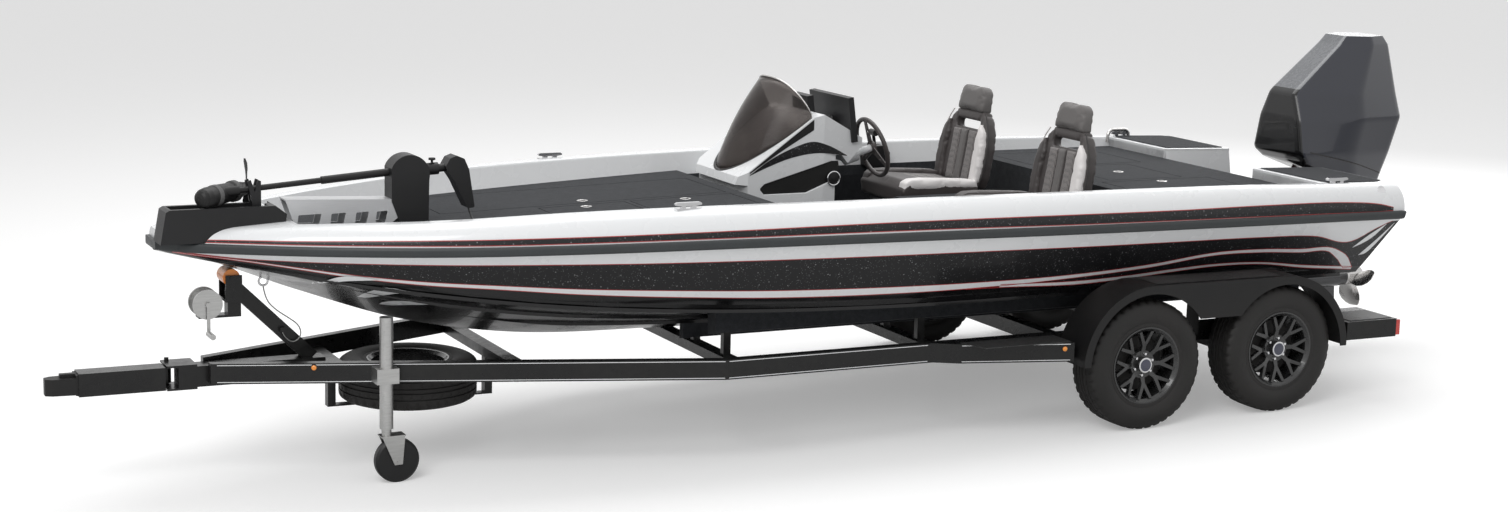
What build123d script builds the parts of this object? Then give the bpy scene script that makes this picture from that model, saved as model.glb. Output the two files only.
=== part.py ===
from build123d import *
import os
from math import atan2, cos, degrees, radians, sin, tan

os.makedirs("parts", exist_ok=True)

# The boat and its trailer are drawn level, with x measured aft from the middle of the two axles,
# port at -y, and z up from the floor. They lean back by NOSE_UP about the axles, as parked on the jack.
# Wheels and the caster stand upright on the floor.
NOSE_UP = 1.6
AXLE_X = 1866

# Wheels
TYRE_RADIUS = 346
TYRE_WIDTH = 222
TREAD_WIDTH = 164
RIM_RADIUS = 190
LIP_RADIUS = 206
LIP_WIDTH = 10
BEAD_WIDTH = 176
WHEEL_Y = 1130
TYRE_SPACE = 174
AXLE_SPACING = 2 * TYRE_RADIUS + TYRE_SPACE
SPOKE_COUNT = 8
SPINDLE_RADIUS = 22
SPIN_GAP = 0.5

# Trailer frame
RAIL_TOP = 487
RAIL_HEIGHT = 100
RAIL_WIDTH = 51
RAIL_OUTER = WHEEL_Y - 145
RAIL_REAR = 1190
FLARE_REAR = -2750
FLARE_FRONT = -5078
FLARE_FRONT_OUTER = 103
FLARE_DROP = 32
CROSS_HEIGHT = 50
CROSS_DEPTH = 76
CROSS_STATIONS = (-4460, -3640, -2620, -1500, -100, 1120)
STEP_FRONT = (-1590, -1470, -880)
STEP_KNEE_OUTER = 1055
STEP_REAR_START = 850
STEP_WALL = 6
SIDE_OUTER = WHEEL_Y + 140
FENDER_INNER = WHEEL_Y - 114
STEP_OUTER_FRONT = SIDE_OUTER - 57

# Tongue and coupler
TONGUE_TOP = 437
TONGUE_SIZE = 102
TONGUE_SLEEVE = 112
HINGE_X = -5250
HINGE_Y = 78
HINGE_PIN = 11
SWING_FRONT = -5690
TONGUE_REAR = -4460
COUPLER_TIP = -5840
BALL_RADIUS = 29.4

# Bunks below the hull
KEEL = 445
DEADRISE = 0.262
BUNK_ROWS = ((300, 345), (640, 730))
BUNK_DEPTH = 70
BUNK_FRONT = -2700
BUNK_REAR = 940

# Fenders
FENDER_CLEARANCE = 74
FENDER_RADIUS = TYRE_RADIUS + FENDER_CLEARANCE
FENDER_SHEET = 5
SKIRT_DEPTH = 44
DROOP_BOTTOM = 572
FENDER_TIP_Z = 400

# Torsion axles
TUBE_SIZE = 76
ARM_LENGTH = 150
ARM_PLATE = 20
ARM_WIDTH = 60

# Spare wheel below the tongue frame
SPARE_X = -4060
SPARE_Z = 296

# Jack and caster
JACK_X = -4310
JACK_GAP = 12
JACK_TUBE = 33
JACK_TOP = 700
JACK_BOTTOM = 150
CASTER_RADIUS = 110
CASTER_WIDTH = 52
CASTER_TRAIL = 46
FORK_SHEET = 6

# Winch post
POST_FOOT = (-4560, 437)
POST_HEAD = (-4930, 800)
POST_SIZE = 70
ROLLER_X = -4962
ROLLER_Z = 862
ROLLER_RADIUS = 42
WINCH_X = -5075
WINCH_Z = 735

# Hull stations: x, half beam at the sheer, height of the sheer, half width and height of the chine, height of
# the keel, height of the gunwale's crown
HULL = (
    (1330, 1165, 1046, 950, 694, 445, 1205),
    (300, 1195, 1060, 958, 696, 445, 1232),
    (-700, 1196, 1070, 955, 695, 445, 1244),
    (-1700, 1152, 1077, 930, 690, 446, 1245),
    (-2700, 1062, 1076, 860, 712, 455, 1240),
    (-3500, 950, 1070, 745, 762, 486, 1222),
    (-4100, 815, 1066, 610, 828, 596, 1190),
    (-4650, 590, 1061, 420, 905, 785, 1164),
    (-5050, 345, 1055, 240, 970, 940, 1140),
    (-5250, 190, 1050, 130, 1008, 990, 1122),
    (-5318, 90, 1047, 60, 1022, 1010, 1112),
)
SECTIONS = (1330, 800, 250, -300, -850, -1400, -1950, -2450, -2900, -3300, -3650, -3950, -4200, -4430, -4640,
            -4820, -4970, -5090, -5180, -5250, -5318)
HULL_WALL = 12
HOLLOW_FRONT = -5000
TRANSOM_FOOT = 1060
TRANSOM_RAKE = 20
TRANSOM_X = 985
TRANSOM_WALL = 55
NOTCH_HALF = 430

# Gunwale cap
SHOULDER = 95
CAP_WIDTH = 175
CAP_FLARE = 25
RUB_REACH = 15
RUB_BELOW = 22
RUB_ABOVE = 20

# Decks and cockpit
DECK_TOP = 1140
DECK_SHEET = 24
DECK_FALL = 1.6
FRONT_DECK_REAR = -2180
FRONT_DECK_FRONT = -4720
REAR_DECK_FRONT = -250
REAR_DECK_REAR = 800
REAR_DECK_TOP = 1165
FLOOR_TOP = 800
FLOOR_SHEET = 10
TUB_WALL = 8
LID_SHEET = 18
LID_GAP = 6
LID_REST = 0.3
LID_LEDGE = 20
WELL_FLOOR = 1040
LOCKER_DEPTH = 210

# Lids: name, x from, x to, y from, y to, side of the hinge (-1 port, 1 starboard)
FRONT_LIDS = (
    ("lid_rod_starboard", -3850, -2260, 120, 640, 1),
    ("lid_port_forward", -3340, -2870, -690, 60, -1),
    ("lid_port_aft", -2830, -2260, -760, 60, -1),
)
REAR_LIDS = (
    ("lid_rear_port", -150, 560, -860, -330, -1),
    ("lid_rear_centre", -60, 420, -270, 270, -1),
    ("lid_rear_starboard", -150, 560, 330, 860, 1),
)

# Cockpit
CONSOLE_PORT = 250
CONSOLE_STARBOARD = 880
CONSOLE_REAR = -1338
CONSOLE_WALL = 14
SCREEN_Y = 500
SCREEN_WIDTH = 470
SCREEN_HEIGHT = 250
WHEEL_HUB = (-1215, 400, 1305)
WHEEL_WAY = (0.957, 0, 0.29)
WHEEL_RADIUS = 165
WHEEL_GRIP = 13
WHEEL_SPOKES = (0, 125, 235)
SEAT_WIDTH = 520
SEAT_FOOT = 1010
SEAT_BACK = 105
SEAT_LEAN = 10
SEAT_WINDOW = 375
STEP_BOX_TOP = 1070
GRAB_Y = 985
GRAB_RADIUS = 11
EYE_RADIUS = 22
EYE_BAR = 5

# Trolling motor
TROLL_Y = -205
# Rows of a blade: radius, chord, pitch, rake and sweep
TROLL_BLADE = ((24, 30, 58, 0, 0), (60, 46, 46, 2, 0), (95, 54, 36, 4, 6), (122, 44, 30, 6, 14),
               (138, 18, 26, 8, 22))
TROLL_SWEEP = 56
POD_NOSE = (-5165, -280, 1284)
POD_WAY = (0.8, 0.6, 0.04)
POD_LENGTH = 335
POD_RADIUS = 49
SHAFT_RADIUS = 14
TOWER_HALF = 58

# Cords, as corner points of their middle lines
BOW_CABLE = ((-4792, 0, 798.5), (-4786, -16, 738), (-4745, -40, 690), (-4690, -52, 652), (-4632, -56, 610),
             (-4618, -56, 556), (-4655, -54, 520), (-4700, -50, 545), (-4712, -48, 576))
BOW_CABLE_RADIUS = 3
MOTOR_CABLE = ((-3800, -222), (-3775, -320), (-3790, -430), (-3835, -530), (-3870, -600))
MOTOR_CABLE_TOP = (-3817, -205, 1176)
CORD_GAP = 2.4
MOTOR_CABLE_RADIUS = 4.5

# Outboard
BRACKET_HALF = 150
TILT_PIN = 16
STEER_PIN = 26
PLATE_Z = 655
SKEG_LOW = 256
PROP_BLADES = 4
PROP_BLADE = ((44, 84, 58, 0, 0), (80, 112, 48, 4, 2), (115, 124, 40, 9, 6), (145, 112, 35, 14, 12),
              (168, 82, 32, 19, 20), (180, 48, 30, 22, 28))
PROP_BLADE_THICKNESS = 7
COWL_WALL = 9
TILT_X = 1345
TILT_Z = 1030
STEER_X = 1480
COWL_FRONT = 1300
COWL_REAR = 2075
COWL_FOOT = 940
COWL_TOP = 1930
ENGINE_FOOT = 1100
# Outlines of the cowl from its foot to its top: inset at the front and rear, half width at the nose, the
# middle and the tail, and share of the height
COWL_ROWS = ((340, 130, 130, 175, 120, 0), (150, 113, 175, 228, 165, 0.162), (0, 75, 238, 272, 195, 0.308),
             (0, 0, 190, 285, 190, 0.515), (10, 35, 120, 268, 170, 0.667), (340, 90, 100, 186, 130, 0.95),
             (385, 120, 95, 160, 112, 1))
ENGINE_SHARE = 0.7
PROP_Z = 459
GEARCASE_RADIUS = 60
TORPEDO_LENGTH = 412
PROP_HUB_FRONT = STEER_X - 30 + TORPEDO_LENGTH


# Placing
def lean(shape):
    """Take a piece from the level drawing to the way it is parked."""
    return Pos(AXLE_X, 0, TYRE_RADIUS) * Rot(0, NOSE_UP, 0) * Pos(0, 0, -TYRE_RADIUS) * shape


def level_hub(x):
    """Height in the level drawing of a wheel centre that stands at x on the floor."""
    return TYRE_RADIUS + x * sin(radians(NOSE_UP))


def keep(name, *solids):
    """Write one node, of one or more solids that don't touch."""
    found = [s for piece in solids for s in piece.solids()]
    shape = found[0] if len(found) == 1 else Compound(children=found)
    shape.label = name
    export_step(shape, f"parts/{name}.step")


# Basic forms
def block(x0, x1, y0, y1, z0, z1):
    centre = Pos((x0 + x1) / 2, (y0 + y1) / 2, (z0 + z1) / 2)
    return centre * Box(abs(x1 - x0), abs(y1 - y0), abs(z1 - z0))


def prism_y(points, y0, y1):
    """Side profile of (x, z) points, drawn out from y0 to y1."""
    face = make_face(Polyline(*[(x, y0, z) for x, z in points], close=True))
    return extrude(face, amount=y1 - y0, dir=(0, 1, 0))


def prism_z(points, z0, z1):
    """Plan outline of (x, y) points, drawn up from z0 to z1."""
    face = make_face(Polyline(*[(x, y, z0) for x, y in points], close=True))
    return extrude(face, amount=z1 - z0, dir=(0, 0, 1))


def prism_x(points, x0, x1):
    """Cross-section of (y, z) points, drawn aft from x0 to x1."""
    face = make_face(Polyline(*[(x0, y, z) for y, z in points], close=True))
    return extrude(face, amount=x1 - x0, dir=(1, 0, 0))


def rod(start, end, radius):
    """Round bar from one point to another."""
    run = Vector(*end) - Vector(*start)
    plane = Plane(origin=start, z_dir=run)
    return extrude(plane * Circle(radius), amount=run.length)


def bar(start, end, width, height):
    """Square bar in the plane of the keel, width across the boat."""
    run = Vector(*end) - Vector(*start)
    plane = Plane(origin=start, x_dir=(0, 1, 0), z_dir=run)
    return extrude(plane * Rectangle(width, height), amount=run.length)


def disc_y(x, z, radius, y0, y1):
    return rod((x, y0, z), (x, y1, z), radius)


def spun(points):
    """Ring about the y axis from a profile of (radius, y) points."""
    return revolve(make_face(Polyline(*points, close=True)), axis=Axis.Y)


def soft_prism_y(points, radius, y0, y1):
    """Side profile with rounded corners, drawn out from y0 to y1."""
    face = make_face(Polyline(*[(x, y0, z) for x, z in points], close=True))
    face = fillet(face.vertices(), radius)
    return extrude(face, amount=y1 - y0, dir=(0, 1, 0))


def spun_x(x, y, z, points):
    """Turned form about a fore-and-aft axis, from (distance aft, radius) points."""
    face = make_face(Polyline(*[(x + along, y, z + radius) for along, radius in points], close=True))
    return revolve(face, axis=Axis((x, y, z), (1, 0, 0)))


def stack(sections):
    """Faceted form through plan outlines, each of x fore and aft, half widths and height."""
    faces = []
    for fore, aft, nose_half, middle_half, tail_half, height in sections:
        middle = (fore + aft) / 2
        outline = Polyline((fore, -nose_half, height), (middle, -middle_half, height), (aft, -tail_half, height),
                           (aft, tail_half, height), (middle, middle_half, height), (fore, nose_half, height),
                           close=True)
        faces.append(make_face(outline))
    return loft(faces, ruled=True)


def twisted_blade(sections, thickness):
    """Blade that stands up from an axis along x, from rows of radius, chord, pitch, rake and sweep."""
    faces = []
    for radius, chord, pitch, rake, sweep in sections:
        outline = []
        for along, thick in ((-0.5, 0.1), (-0.2, 0.5), (0.2, 0.5), (0.5, 0.1), (0.5, -0.1), (0.2, -0.5),
                             (-0.2, -0.5),
                             (-0.5, -0.1)):
            a = along * chord + sweep
            b = thick * thickness
            turn = radians(pitch)
            outline.append((rake + a * sin(turn) + b * cos(turn), a * cos(turn) - b * sin(turn), radius))
        faces.append(make_face(Polyline(*outline, close=True)))
    return loft(faces, ruled=True)


def port_and_starboard(piece):
    """The port piece and its mirror image."""
    return [piece, mirror(piece, about=Plane.XZ)]


# Wheels
def tyre():
    half = TYRE_WIDTH / 2
    bead = BEAD_WIDTH / 2
    tread = TREAD_WIDTH / 2
    shoulder = TYRE_RADIUS - 14
    wall = [
        Line((RIM_RADIUS, -bead), (LIP_RADIUS, -bead)),
        ThreePointArc((LIP_RADIUS, -bead), ((LIP_RADIUS + shoulder) / 2 - 4, -half), (shoulder, -tread - 12)),
        ThreePointArc((shoulder, -tread - 12), (TYRE_RADIUS - 4, -tread - 5), (TYRE_RADIUS, -tread + 6)),
        Line((TYRE_RADIUS, -tread + 6), (TYRE_RADIUS, tread - 6)),
        ThreePointArc((TYRE_RADIUS, tread - 6), (TYRE_RADIUS - 4, tread + 5), (shoulder, tread + 12)),
        ThreePointArc((shoulder, tread + 12), ((LIP_RADIUS + shoulder) / 2 - 4, half), (LIP_RADIUS, bead)),
        Line((LIP_RADIUS, bead), (RIM_RADIUS, bead)),
        Line((RIM_RADIUS, bead), (RIM_RADIUS, -bead)),
    ]
    return revolve(make_face(Wire(wall)), axis=Axis.Y)


def barrel():
    bead = BEAD_WIDTH / 2
    lip = bead + LIP_WIDTH
    inner = RIM_RADIUS - 8
    return spun([
        (LIP_RADIUS, -lip), (LIP_RADIUS, -bead), (RIM_RADIUS, -bead), (RIM_RADIUS, bead), (LIP_RADIUS, bead),
        (LIP_RADIUS, lip), (LIP_RADIUS - 8, lip), (inner, bead - 6), (inner, -bead + 6), (LIP_RADIUS - 8, -lip),
    ])


def spoked_rim(side):
    """Alloy rim whose face looks to port for side -1 and to starboard for side 1."""
    root = 64
    fork = 118
    reach = RIM_RADIUS - 4
    spread = 180 / SPOKE_COUNT * 0.52
    stem = prism_y([(root - 20, -15), (fork, -9), (fork, 9), (root - 20, 15)], 30, 90)
    tip_x = reach * cos(radians(spread))
    tip_z = reach * sin(radians(spread))
    leg = prism_y([(fork - 22, 9), (fork - 4, -4), (tip_x, tip_z - 8), (tip_x - 3, tip_z + 8)], 30, 90)
    star = stem + leg + mirror(leg, about=Plane.XY)
    spokes = [Rot(0, 360 / SPOKE_COUNT * i, 0) * star for i in range(SPOKE_COUNT)]
    dish = spun([(0, 36), (RIM_RADIUS - 6, 66), (RIM_RADIUS - 6, 90), (120, 78), (70, 62), (0, 60)])
    face = Part() + spokes
    face = face & dish
    boss = spun([(SPINDLE_RADIUS + SPIN_GAP, -56), (70, -56), (74, 20), (74, 60), (40, 60), (40, 84),
                 (34, 88), (0, 88), (0, 66), (SPINDLE_RADIUS + SPIN_GAP, 66)])
    rim = barrel() + face + boss
    if side < 0:
        rim = mirror(rim, about=Plane.XZ)
    return rim


def wheels():
    ends = (("front", -AXLE_SPACING / 2), ("rear", AXLE_SPACING / 2))
    sides = (("port", -1), ("starboard", 1))
    rubber = tyre()
    for side_name, side in sides:
        rim = spoked_rim(side)
        for end_name, x in ends:
            place = Pos(AXLE_X + x, side * WHEEL_Y, TYRE_RADIUS)
            keep(f"tyre_{end_name}_{side_name}", place * rubber)
            keep(f"rim_{end_name}_{side_name}", place * rim)


def axles():
    """Torsion tube under the rails, with a trailing arm and spindle at each end."""
    pieces = []
    tube_z = RAIL_TOP - RAIL_HEIGHT - TUBE_SIZE / 2
    for end in (-1, 1):
        hub_x = end * AXLE_SPACING / 2
        hub_z = level_hub(hub_x)
        tube_x = hub_x - ARM_LENGTH
        reach = RAIL_OUTER + ARM_PLATE
        beam = block(tube_x - TUBE_SIZE / 2, tube_x + TUBE_SIZE / 2, -reach, reach,
                     tube_z - TUBE_SIZE / 2, tube_z + TUBE_SIZE / 2)
        for side in (-1, 1):
            inner = side * (RAIL_OUTER + 1)
            outer = side * (RAIL_OUTER + ARM_PLATE)
            tilt = degrees(atan2(hub_z - tube_z, ARM_LENGTH))
            arm = extrude(Plane.XZ * SlotCenterToCenter(ARM_LENGTH, ARM_WIDTH), amount=ARM_PLATE - 1)
            arm = Pos(0, max(inner, outer), 0) * arm
            arm = Pos((tube_x + hub_x) / 2, 0, (tube_z + hub_z) / 2) * Rot(0, -tilt, 0) * arm
            spindle = rod((hub_x, inner, hub_z), (hub_x, side * (WHEEL_Y + 62), hub_z), SPINDLE_RADIUS)
            beam = beam + arm + spindle
        pieces.append(lean(beam))
    keep("axles", *pieces)


# Trailer frame
def flared_rail():
    """Port main rail: tapers out from the tongue, then runs straight aft."""
    inner = RAIL_OUTER - RAIL_WIDTH
    straight = block(FLARE_REAR, RAIL_REAR, -RAIL_OUTER, -inner, RAIL_TOP - RAIL_HEIGHT, RAIL_TOP)
    front_top = RAIL_TOP - FLARE_DROP
    ends = []
    for x, outer, top in ((FLARE_FRONT, FLARE_FRONT_OUTER, front_top), (FLARE_REAR, RAIL_OUTER, RAIL_TOP)):
        corner = [(x, -outer, top), (x, -outer + RAIL_WIDTH, top), (x, -outer + RAIL_WIDTH, top - RAIL_HEIGHT),
                  (x, -outer, top - RAIL_HEIGHT)]
        ends.append(make_face(Polyline(*corner, close=True)))
    return straight + loft(ends, ruled=True)


def side_steps():
    """Port steps before and behind the fender, open below."""
    low = RAIL_TOP - RAIL_HEIGHT
    start, knee, end = STEP_FRONT
    front = prism_z([(start, -RAIL_OUTER), (knee, -STEP_KNEE_OUTER), (end, -STEP_OUTER_FRONT),
                     (end, -RAIL_OUTER)], low, RAIL_TOP)
    hollow = prism_z([(knee, -RAIL_OUTER - STEP_WALL), (knee, -STEP_KNEE_OUTER + 2 * STEP_WALL),
                      (end - STEP_WALL, -STEP_OUTER_FRONT + 2 * STEP_WALL),
                      (end - STEP_WALL, -RAIL_OUTER - STEP_WALL)], low - 1, RAIL_TOP - STEP_WALL)
    rear = block(STEP_REAR_START, RAIL_REAR, -SIDE_OUTER, -RAIL_OUTER, low, RAIL_TOP)
    rear_hollow = block(STEP_REAR_START + STEP_WALL, RAIL_REAR - STEP_WALL, -SIDE_OUTER + STEP_WALL,
                        -RAIL_OUTER - STEP_WALL, low - 1, RAIL_TOP - STEP_WALL)
    return (front - hollow) + (rear - rear_hollow)


def rail_inner(x):
    """Half width between the rails at x."""
    if x > FLARE_REAR:
        return RAIL_OUTER - RAIL_WIDTH
    share = (FLARE_REAR - x) / (FLARE_REAR - FLARE_FRONT)
    return RAIL_OUTER - RAIL_WIDTH - share * (RAIL_OUTER - FLARE_FRONT_OUTER)


def rail_low(x):
    """Height of the rail's underside at x."""
    if x > FLARE_REAR:
        return RAIL_TOP - RAIL_HEIGHT
    share = (FLARE_REAR - x) / (FLARE_REAR - FLARE_FRONT)
    return RAIL_TOP - RAIL_HEIGHT - share * FLARE_DROP


def frame():
    rail = flared_rail() + side_steps()
    keep("rails", *[lean(piece) for piece in port_and_starboard(rail)])


def cross_frame(planks):
    """Crossmembers between the rails, the posts of the bunks and the cradle below the spare."""
    beams = []
    for x in CROSS_STATIONS:
        front = x - CROSS_DEPTH / 2
        rear = x + CROSS_DEPTH / 2
        low = rail_low(x) + 4
        points = [(front, -rail_inner(front)), (rear, -rail_inner(rear)), (rear, rail_inner(rear)),
                  (front, rail_inner(front))]
        beam = prism_z(points, low, low + CROSS_HEIGHT)
        if BUNK_FRONT < x < BUNK_REAR:
            for inner, outer in BUNK_ROWS:
                middle = (inner + outer) / 2
                foot = low + CROSS_HEIGHT - 1
                post = block(x - 20, x + 20, -middle - 18, -middle + 18, foot, bunk_low(inner) + 30)
                for plank in planks:
                    post = post - plank
                post = min(post.solids(), key=lambda s: s.center().Z)
                beam = beam + port_and_starboard(post)
        beams.append(beam)
    low = SPARE_Z - TYRE_WIDTH / 2 - 1
    cradle = block(CROSS_STATIONS[0] - 20, CROSS_STATIONS[1] + 20, -25, 25, low - 8, low)
    for x in CROSS_STATIONS[:2]:
        cradle = cradle + block(x - 20, x + 20, -25, 25, low - 8, rail_low(x) + 5)
    carrier = beams[0] + beams[1] + cradle
    keep("crossmembers", *[lean(beam) for beam in [carrier] + beams[2:]])


def bunk_low(y):
    """Height of the underside of a bunk at its inner edge."""
    return KEEL + DEADRISE * y - BUNK_DEPTH


def bunks(form):
    """Carpeted planks that follow the bottom of the hull."""
    planks = []
    for inner, outer in BUNK_ROWS:
        low = bunk_low(inner)
        rise = DEADRISE * (outer - inner)
        plank = prism_x([(-outer, low + rise), (-inner, low), (-inner, low + 160), (-outer, low + 160 + rise)],
                        BUNK_FRONT, BUNK_REAR)
        plank = plank - form
        planks.append(min(plank.solids(), key=lambda s: s.center().Z))
    keep("bunks", *[lean(p) for plank in planks for p in port_and_starboard(plank)])
    return planks


# Fenders
def fender():
    """Port tandem fender: a rolled sheet with an outer skirt that droops between the tyres."""
    half = AXLE_SPACING / 2
    inner_y = -FENDER_INNER
    outer_y = -SIDE_OUTER

    def loop(radius, low):
        reach = (radius ** 2 - (FENDER_TIP_Z - TYRE_RADIUS) ** 2) ** 0.5
        top = TYRE_RADIUS + radius
        diag = radius * cos(radians(45))
        return make_face(Wire([
            Line((-half - reach, inner_y, low), (-half - reach, inner_y, FENDER_TIP_Z)),
            ThreePointArc((-half - reach, inner_y, FENDER_TIP_Z), (-half - diag, inner_y, TYRE_RADIUS + diag),
                          (-half, inner_y, top)),
            Line((-half, inner_y, top), (half, inner_y, top)),
            ThreePointArc((half, inner_y, top), (half + diag, inner_y, TYRE_RADIUS + diag),
                          (half + reach, inner_y, FENDER_TIP_Z)),
            Line((half + reach, inner_y, FENDER_TIP_Z), (half + reach, inner_y, low)),
            Line((half + reach, inner_y, low), (-half - reach, inner_y, low)),
        ]))

    width = inner_y - outer_y
    outside = extrude(loop(FENDER_RADIUS, FENDER_TIP_Z - 40), amount=width, dir=(0, -1, 0))
    inside = extrude(loop(FENDER_RADIUS - FENDER_SHEET, FENDER_TIP_Z - 60), amount=width, dir=(0, -1, 0))
    sheet = outside - inside
    skirt = extrude(loop(FENDER_RADIUS, FENDER_TIP_Z - 40), amount=width, dir=(0, -1, 0))
    skirt = skirt & block(-2 * half, 2 * half, outer_y, outer_y + FENDER_SHEET, 0, COWL_TOP)
    opening = FENDER_RADIUS - SKIRT_DEPTH
    for x in (-half, half):
        skirt = skirt - disc_y(x, TYRE_RADIUS, opening, outer_y - 5, outer_y + 10)
        skirt = skirt - block(x - opening, x + opening, outer_y - 5, outer_y + 10, 200, TYRE_RADIUS)
    skirt = skirt - block(-half, half, outer_y - 5, outer_y + 10, 200, DROOP_BOTTOM)
    roof = TYRE_RADIUS + FENDER_RADIUS
    brace = block(-40, 40, inner_y, -RAIL_OUTER, RAIL_TOP - 60, RAIL_TOP + 30)
    brace = brace + block(-40, 40, inner_y - 6, inner_y, RAIL_TOP - 60, roof)
    return sheet + skirt + brace


def fenders():
    keep("fenders", *[lean(piece) for piece in port_and_starboard(fender())])


# Tongue, coupler and winch post
def tongue():
    half = TONGUE_SIZE / 2
    low = TONGUE_TOP - TONGUE_SIZE
    fixed = block(HINGE_X + 30, TONGUE_REAR - CROSS_DEPTH / 2, -half, half, low, TONGUE_TOP)
    reach = HINGE_PIN + 14
    for z0, z1 in ((TONGUE_TOP, TONGUE_TOP + 10), (low - 10, low)):
        fixed = fixed + block(HINGE_X - reach, HINGE_X + 120, -half, HINGE_Y + reach, z0, z1)
    fixed = fixed - rod((HINGE_X, HINGE_Y, low - 20), (HINGE_X, HINGE_Y, TONGUE_TOP + 20), HINGE_PIN + SPIN_GAP)
    keep("tongue_fixed", lean(fixed))

    sleeve = TONGUE_SLEEVE / 2
    middle = TONGUE_TOP - half
    tube = block(SWING_FRONT, HINGE_X - reach - 8, -sleeve, sleeve, middle - sleeve, middle + sleeve)
    tube = tube - block(SWING_FRONT - 1, SWING_FRONT + 200, -sleeve + 6, sleeve - 6, middle - sleeve + 6,
                        middle + sleeve - 6)
    ear = block(HINGE_X - 60, HINGE_X, half - 4, HINGE_Y + 10, low + 5, TONGUE_TOP - 5)
    ear = ear + rod((HINGE_X, HINGE_Y, low + 5), (HINGE_X, HINGE_Y, TONGUE_TOP - 5), 22)
    pin = rod((HINGE_X, HINGE_Y, low - 16), (HINGE_X, HINGE_Y, TONGUE_TOP + 26), HINGE_PIN)
    keep("tongue_swing", lean(tube + ear + pin))

    inner = sleeve - 6
    shank = block(SWING_FRONT - 12, SWING_FRONT + 120, -inner, inner, middle - inner, middle + inner)
    socket = prism_z([(SWING_FRONT - 10, -inner), (COUPLER_TIP + 30, -40), (COUPLER_TIP, -22), (COUPLER_TIP, 22),
                      (COUPLER_TIP + 30, 40), (SWING_FRONT - 10, inner)], middle - 46, middle + 34)
    ball = Pos(COUPLER_TIP + 46, 0, middle - 38) * Sphere(BALL_RADIUS)
    throat = rod((COUPLER_TIP + 46, 0, middle - 60), (COUPLER_TIP + 46, 0, middle - 38), BALL_RADIUS)
    latch = block(COUPLER_TIP + 70, SWING_FRONT - 2, -16, 16, middle + 30, middle + 52)
    keep("coupler", lean(shank + socket - ball - throat + latch))


def winch_stand():
    foot = (POST_FOOT[0], 0, POST_FOOT[1])
    head = (POST_HEAD[0], 0, POST_HEAD[1])
    post = bar(foot, head, POST_SIZE, POST_SIZE)
    post = post - block(-6000, 0, -200, 200, 0, TONGUE_TOP)
    upright = block(head[0] - 45, head[0] + 20, -POST_SIZE / 2, POST_SIZE / 2, WINCH_Z - 70, ROLLER_Z - 60)
    cheeks = [block(ROLLER_X - 30, ROLLER_X + 50, y - 4, y + 4, ROLLER_Z - 110, ROLLER_Z + 12) for y in (-66, 66)]
    saddle = block(ROLLER_X - 30, ROLLER_X + 50, -70, 70, ROLLER_Z - 118, ROLLER_Z - 104)
    arm = block(WINCH_X - 40, head[0], -POST_SIZE / 2, POST_SIZE / 2, WINCH_Z - 70, WINCH_Z - 58)
    axle = disc_y(ROLLER_X, ROLLER_Z, 10, -74, 74)
    x, y, z = BOW_CABLE[-1]
    lug = block(x - 12, x + 12, y - 10, -POST_SIZE / 2 + 1, z + CORD_GAP, z + 24)
    keep("winch_post", lean(post + upright + cheeks + saddle + arm + axle + lug))
    spool = disc_y(ROLLER_X, ROLLER_Z, ROLLER_RADIUS, -60, 60) - disc_y(ROLLER_X, ROLLER_Z, 10.3, -70, 70)
    keep("bow_roller", lean(spool))
    drum = disc_y(WINCH_X, WINCH_Z, 55, -40, 40) + disc_y(WINCH_X, WINCH_Z, 72, -52, -40)
    drum = drum + disc_y(WINCH_X, WINCH_Z, 72, 40, 52)
    foot_block = block(WINCH_X - 30, WINCH_X + 30, -30, 30, WINCH_Z - 58, WINCH_Z)
    crank = block(WINCH_X - 8, WINCH_X + 8, -66, -58, WINCH_Z - 150, WINCH_Z + 12)
    crank = crank + disc_y(WINCH_X, WINCH_Z, 12, -66, -40) + disc_y(WINCH_X, WINCH_Z - 140, 14, -150, -60)
    keep("winch", lean(drum + foot_block + crank))


def spare():
    place = Pos(SPARE_X, 0, SPARE_Z) * Rot(90, 0, 0)
    keep("spare_tyre", lean(place * tyre()))
    rim = barrel() + spun([(30, 20), (RIM_RADIUS - 4, 20), (RIM_RADIUS - 4, 26), (30, 26)])
    keep("spare_rim", lean(place * rim))


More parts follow.
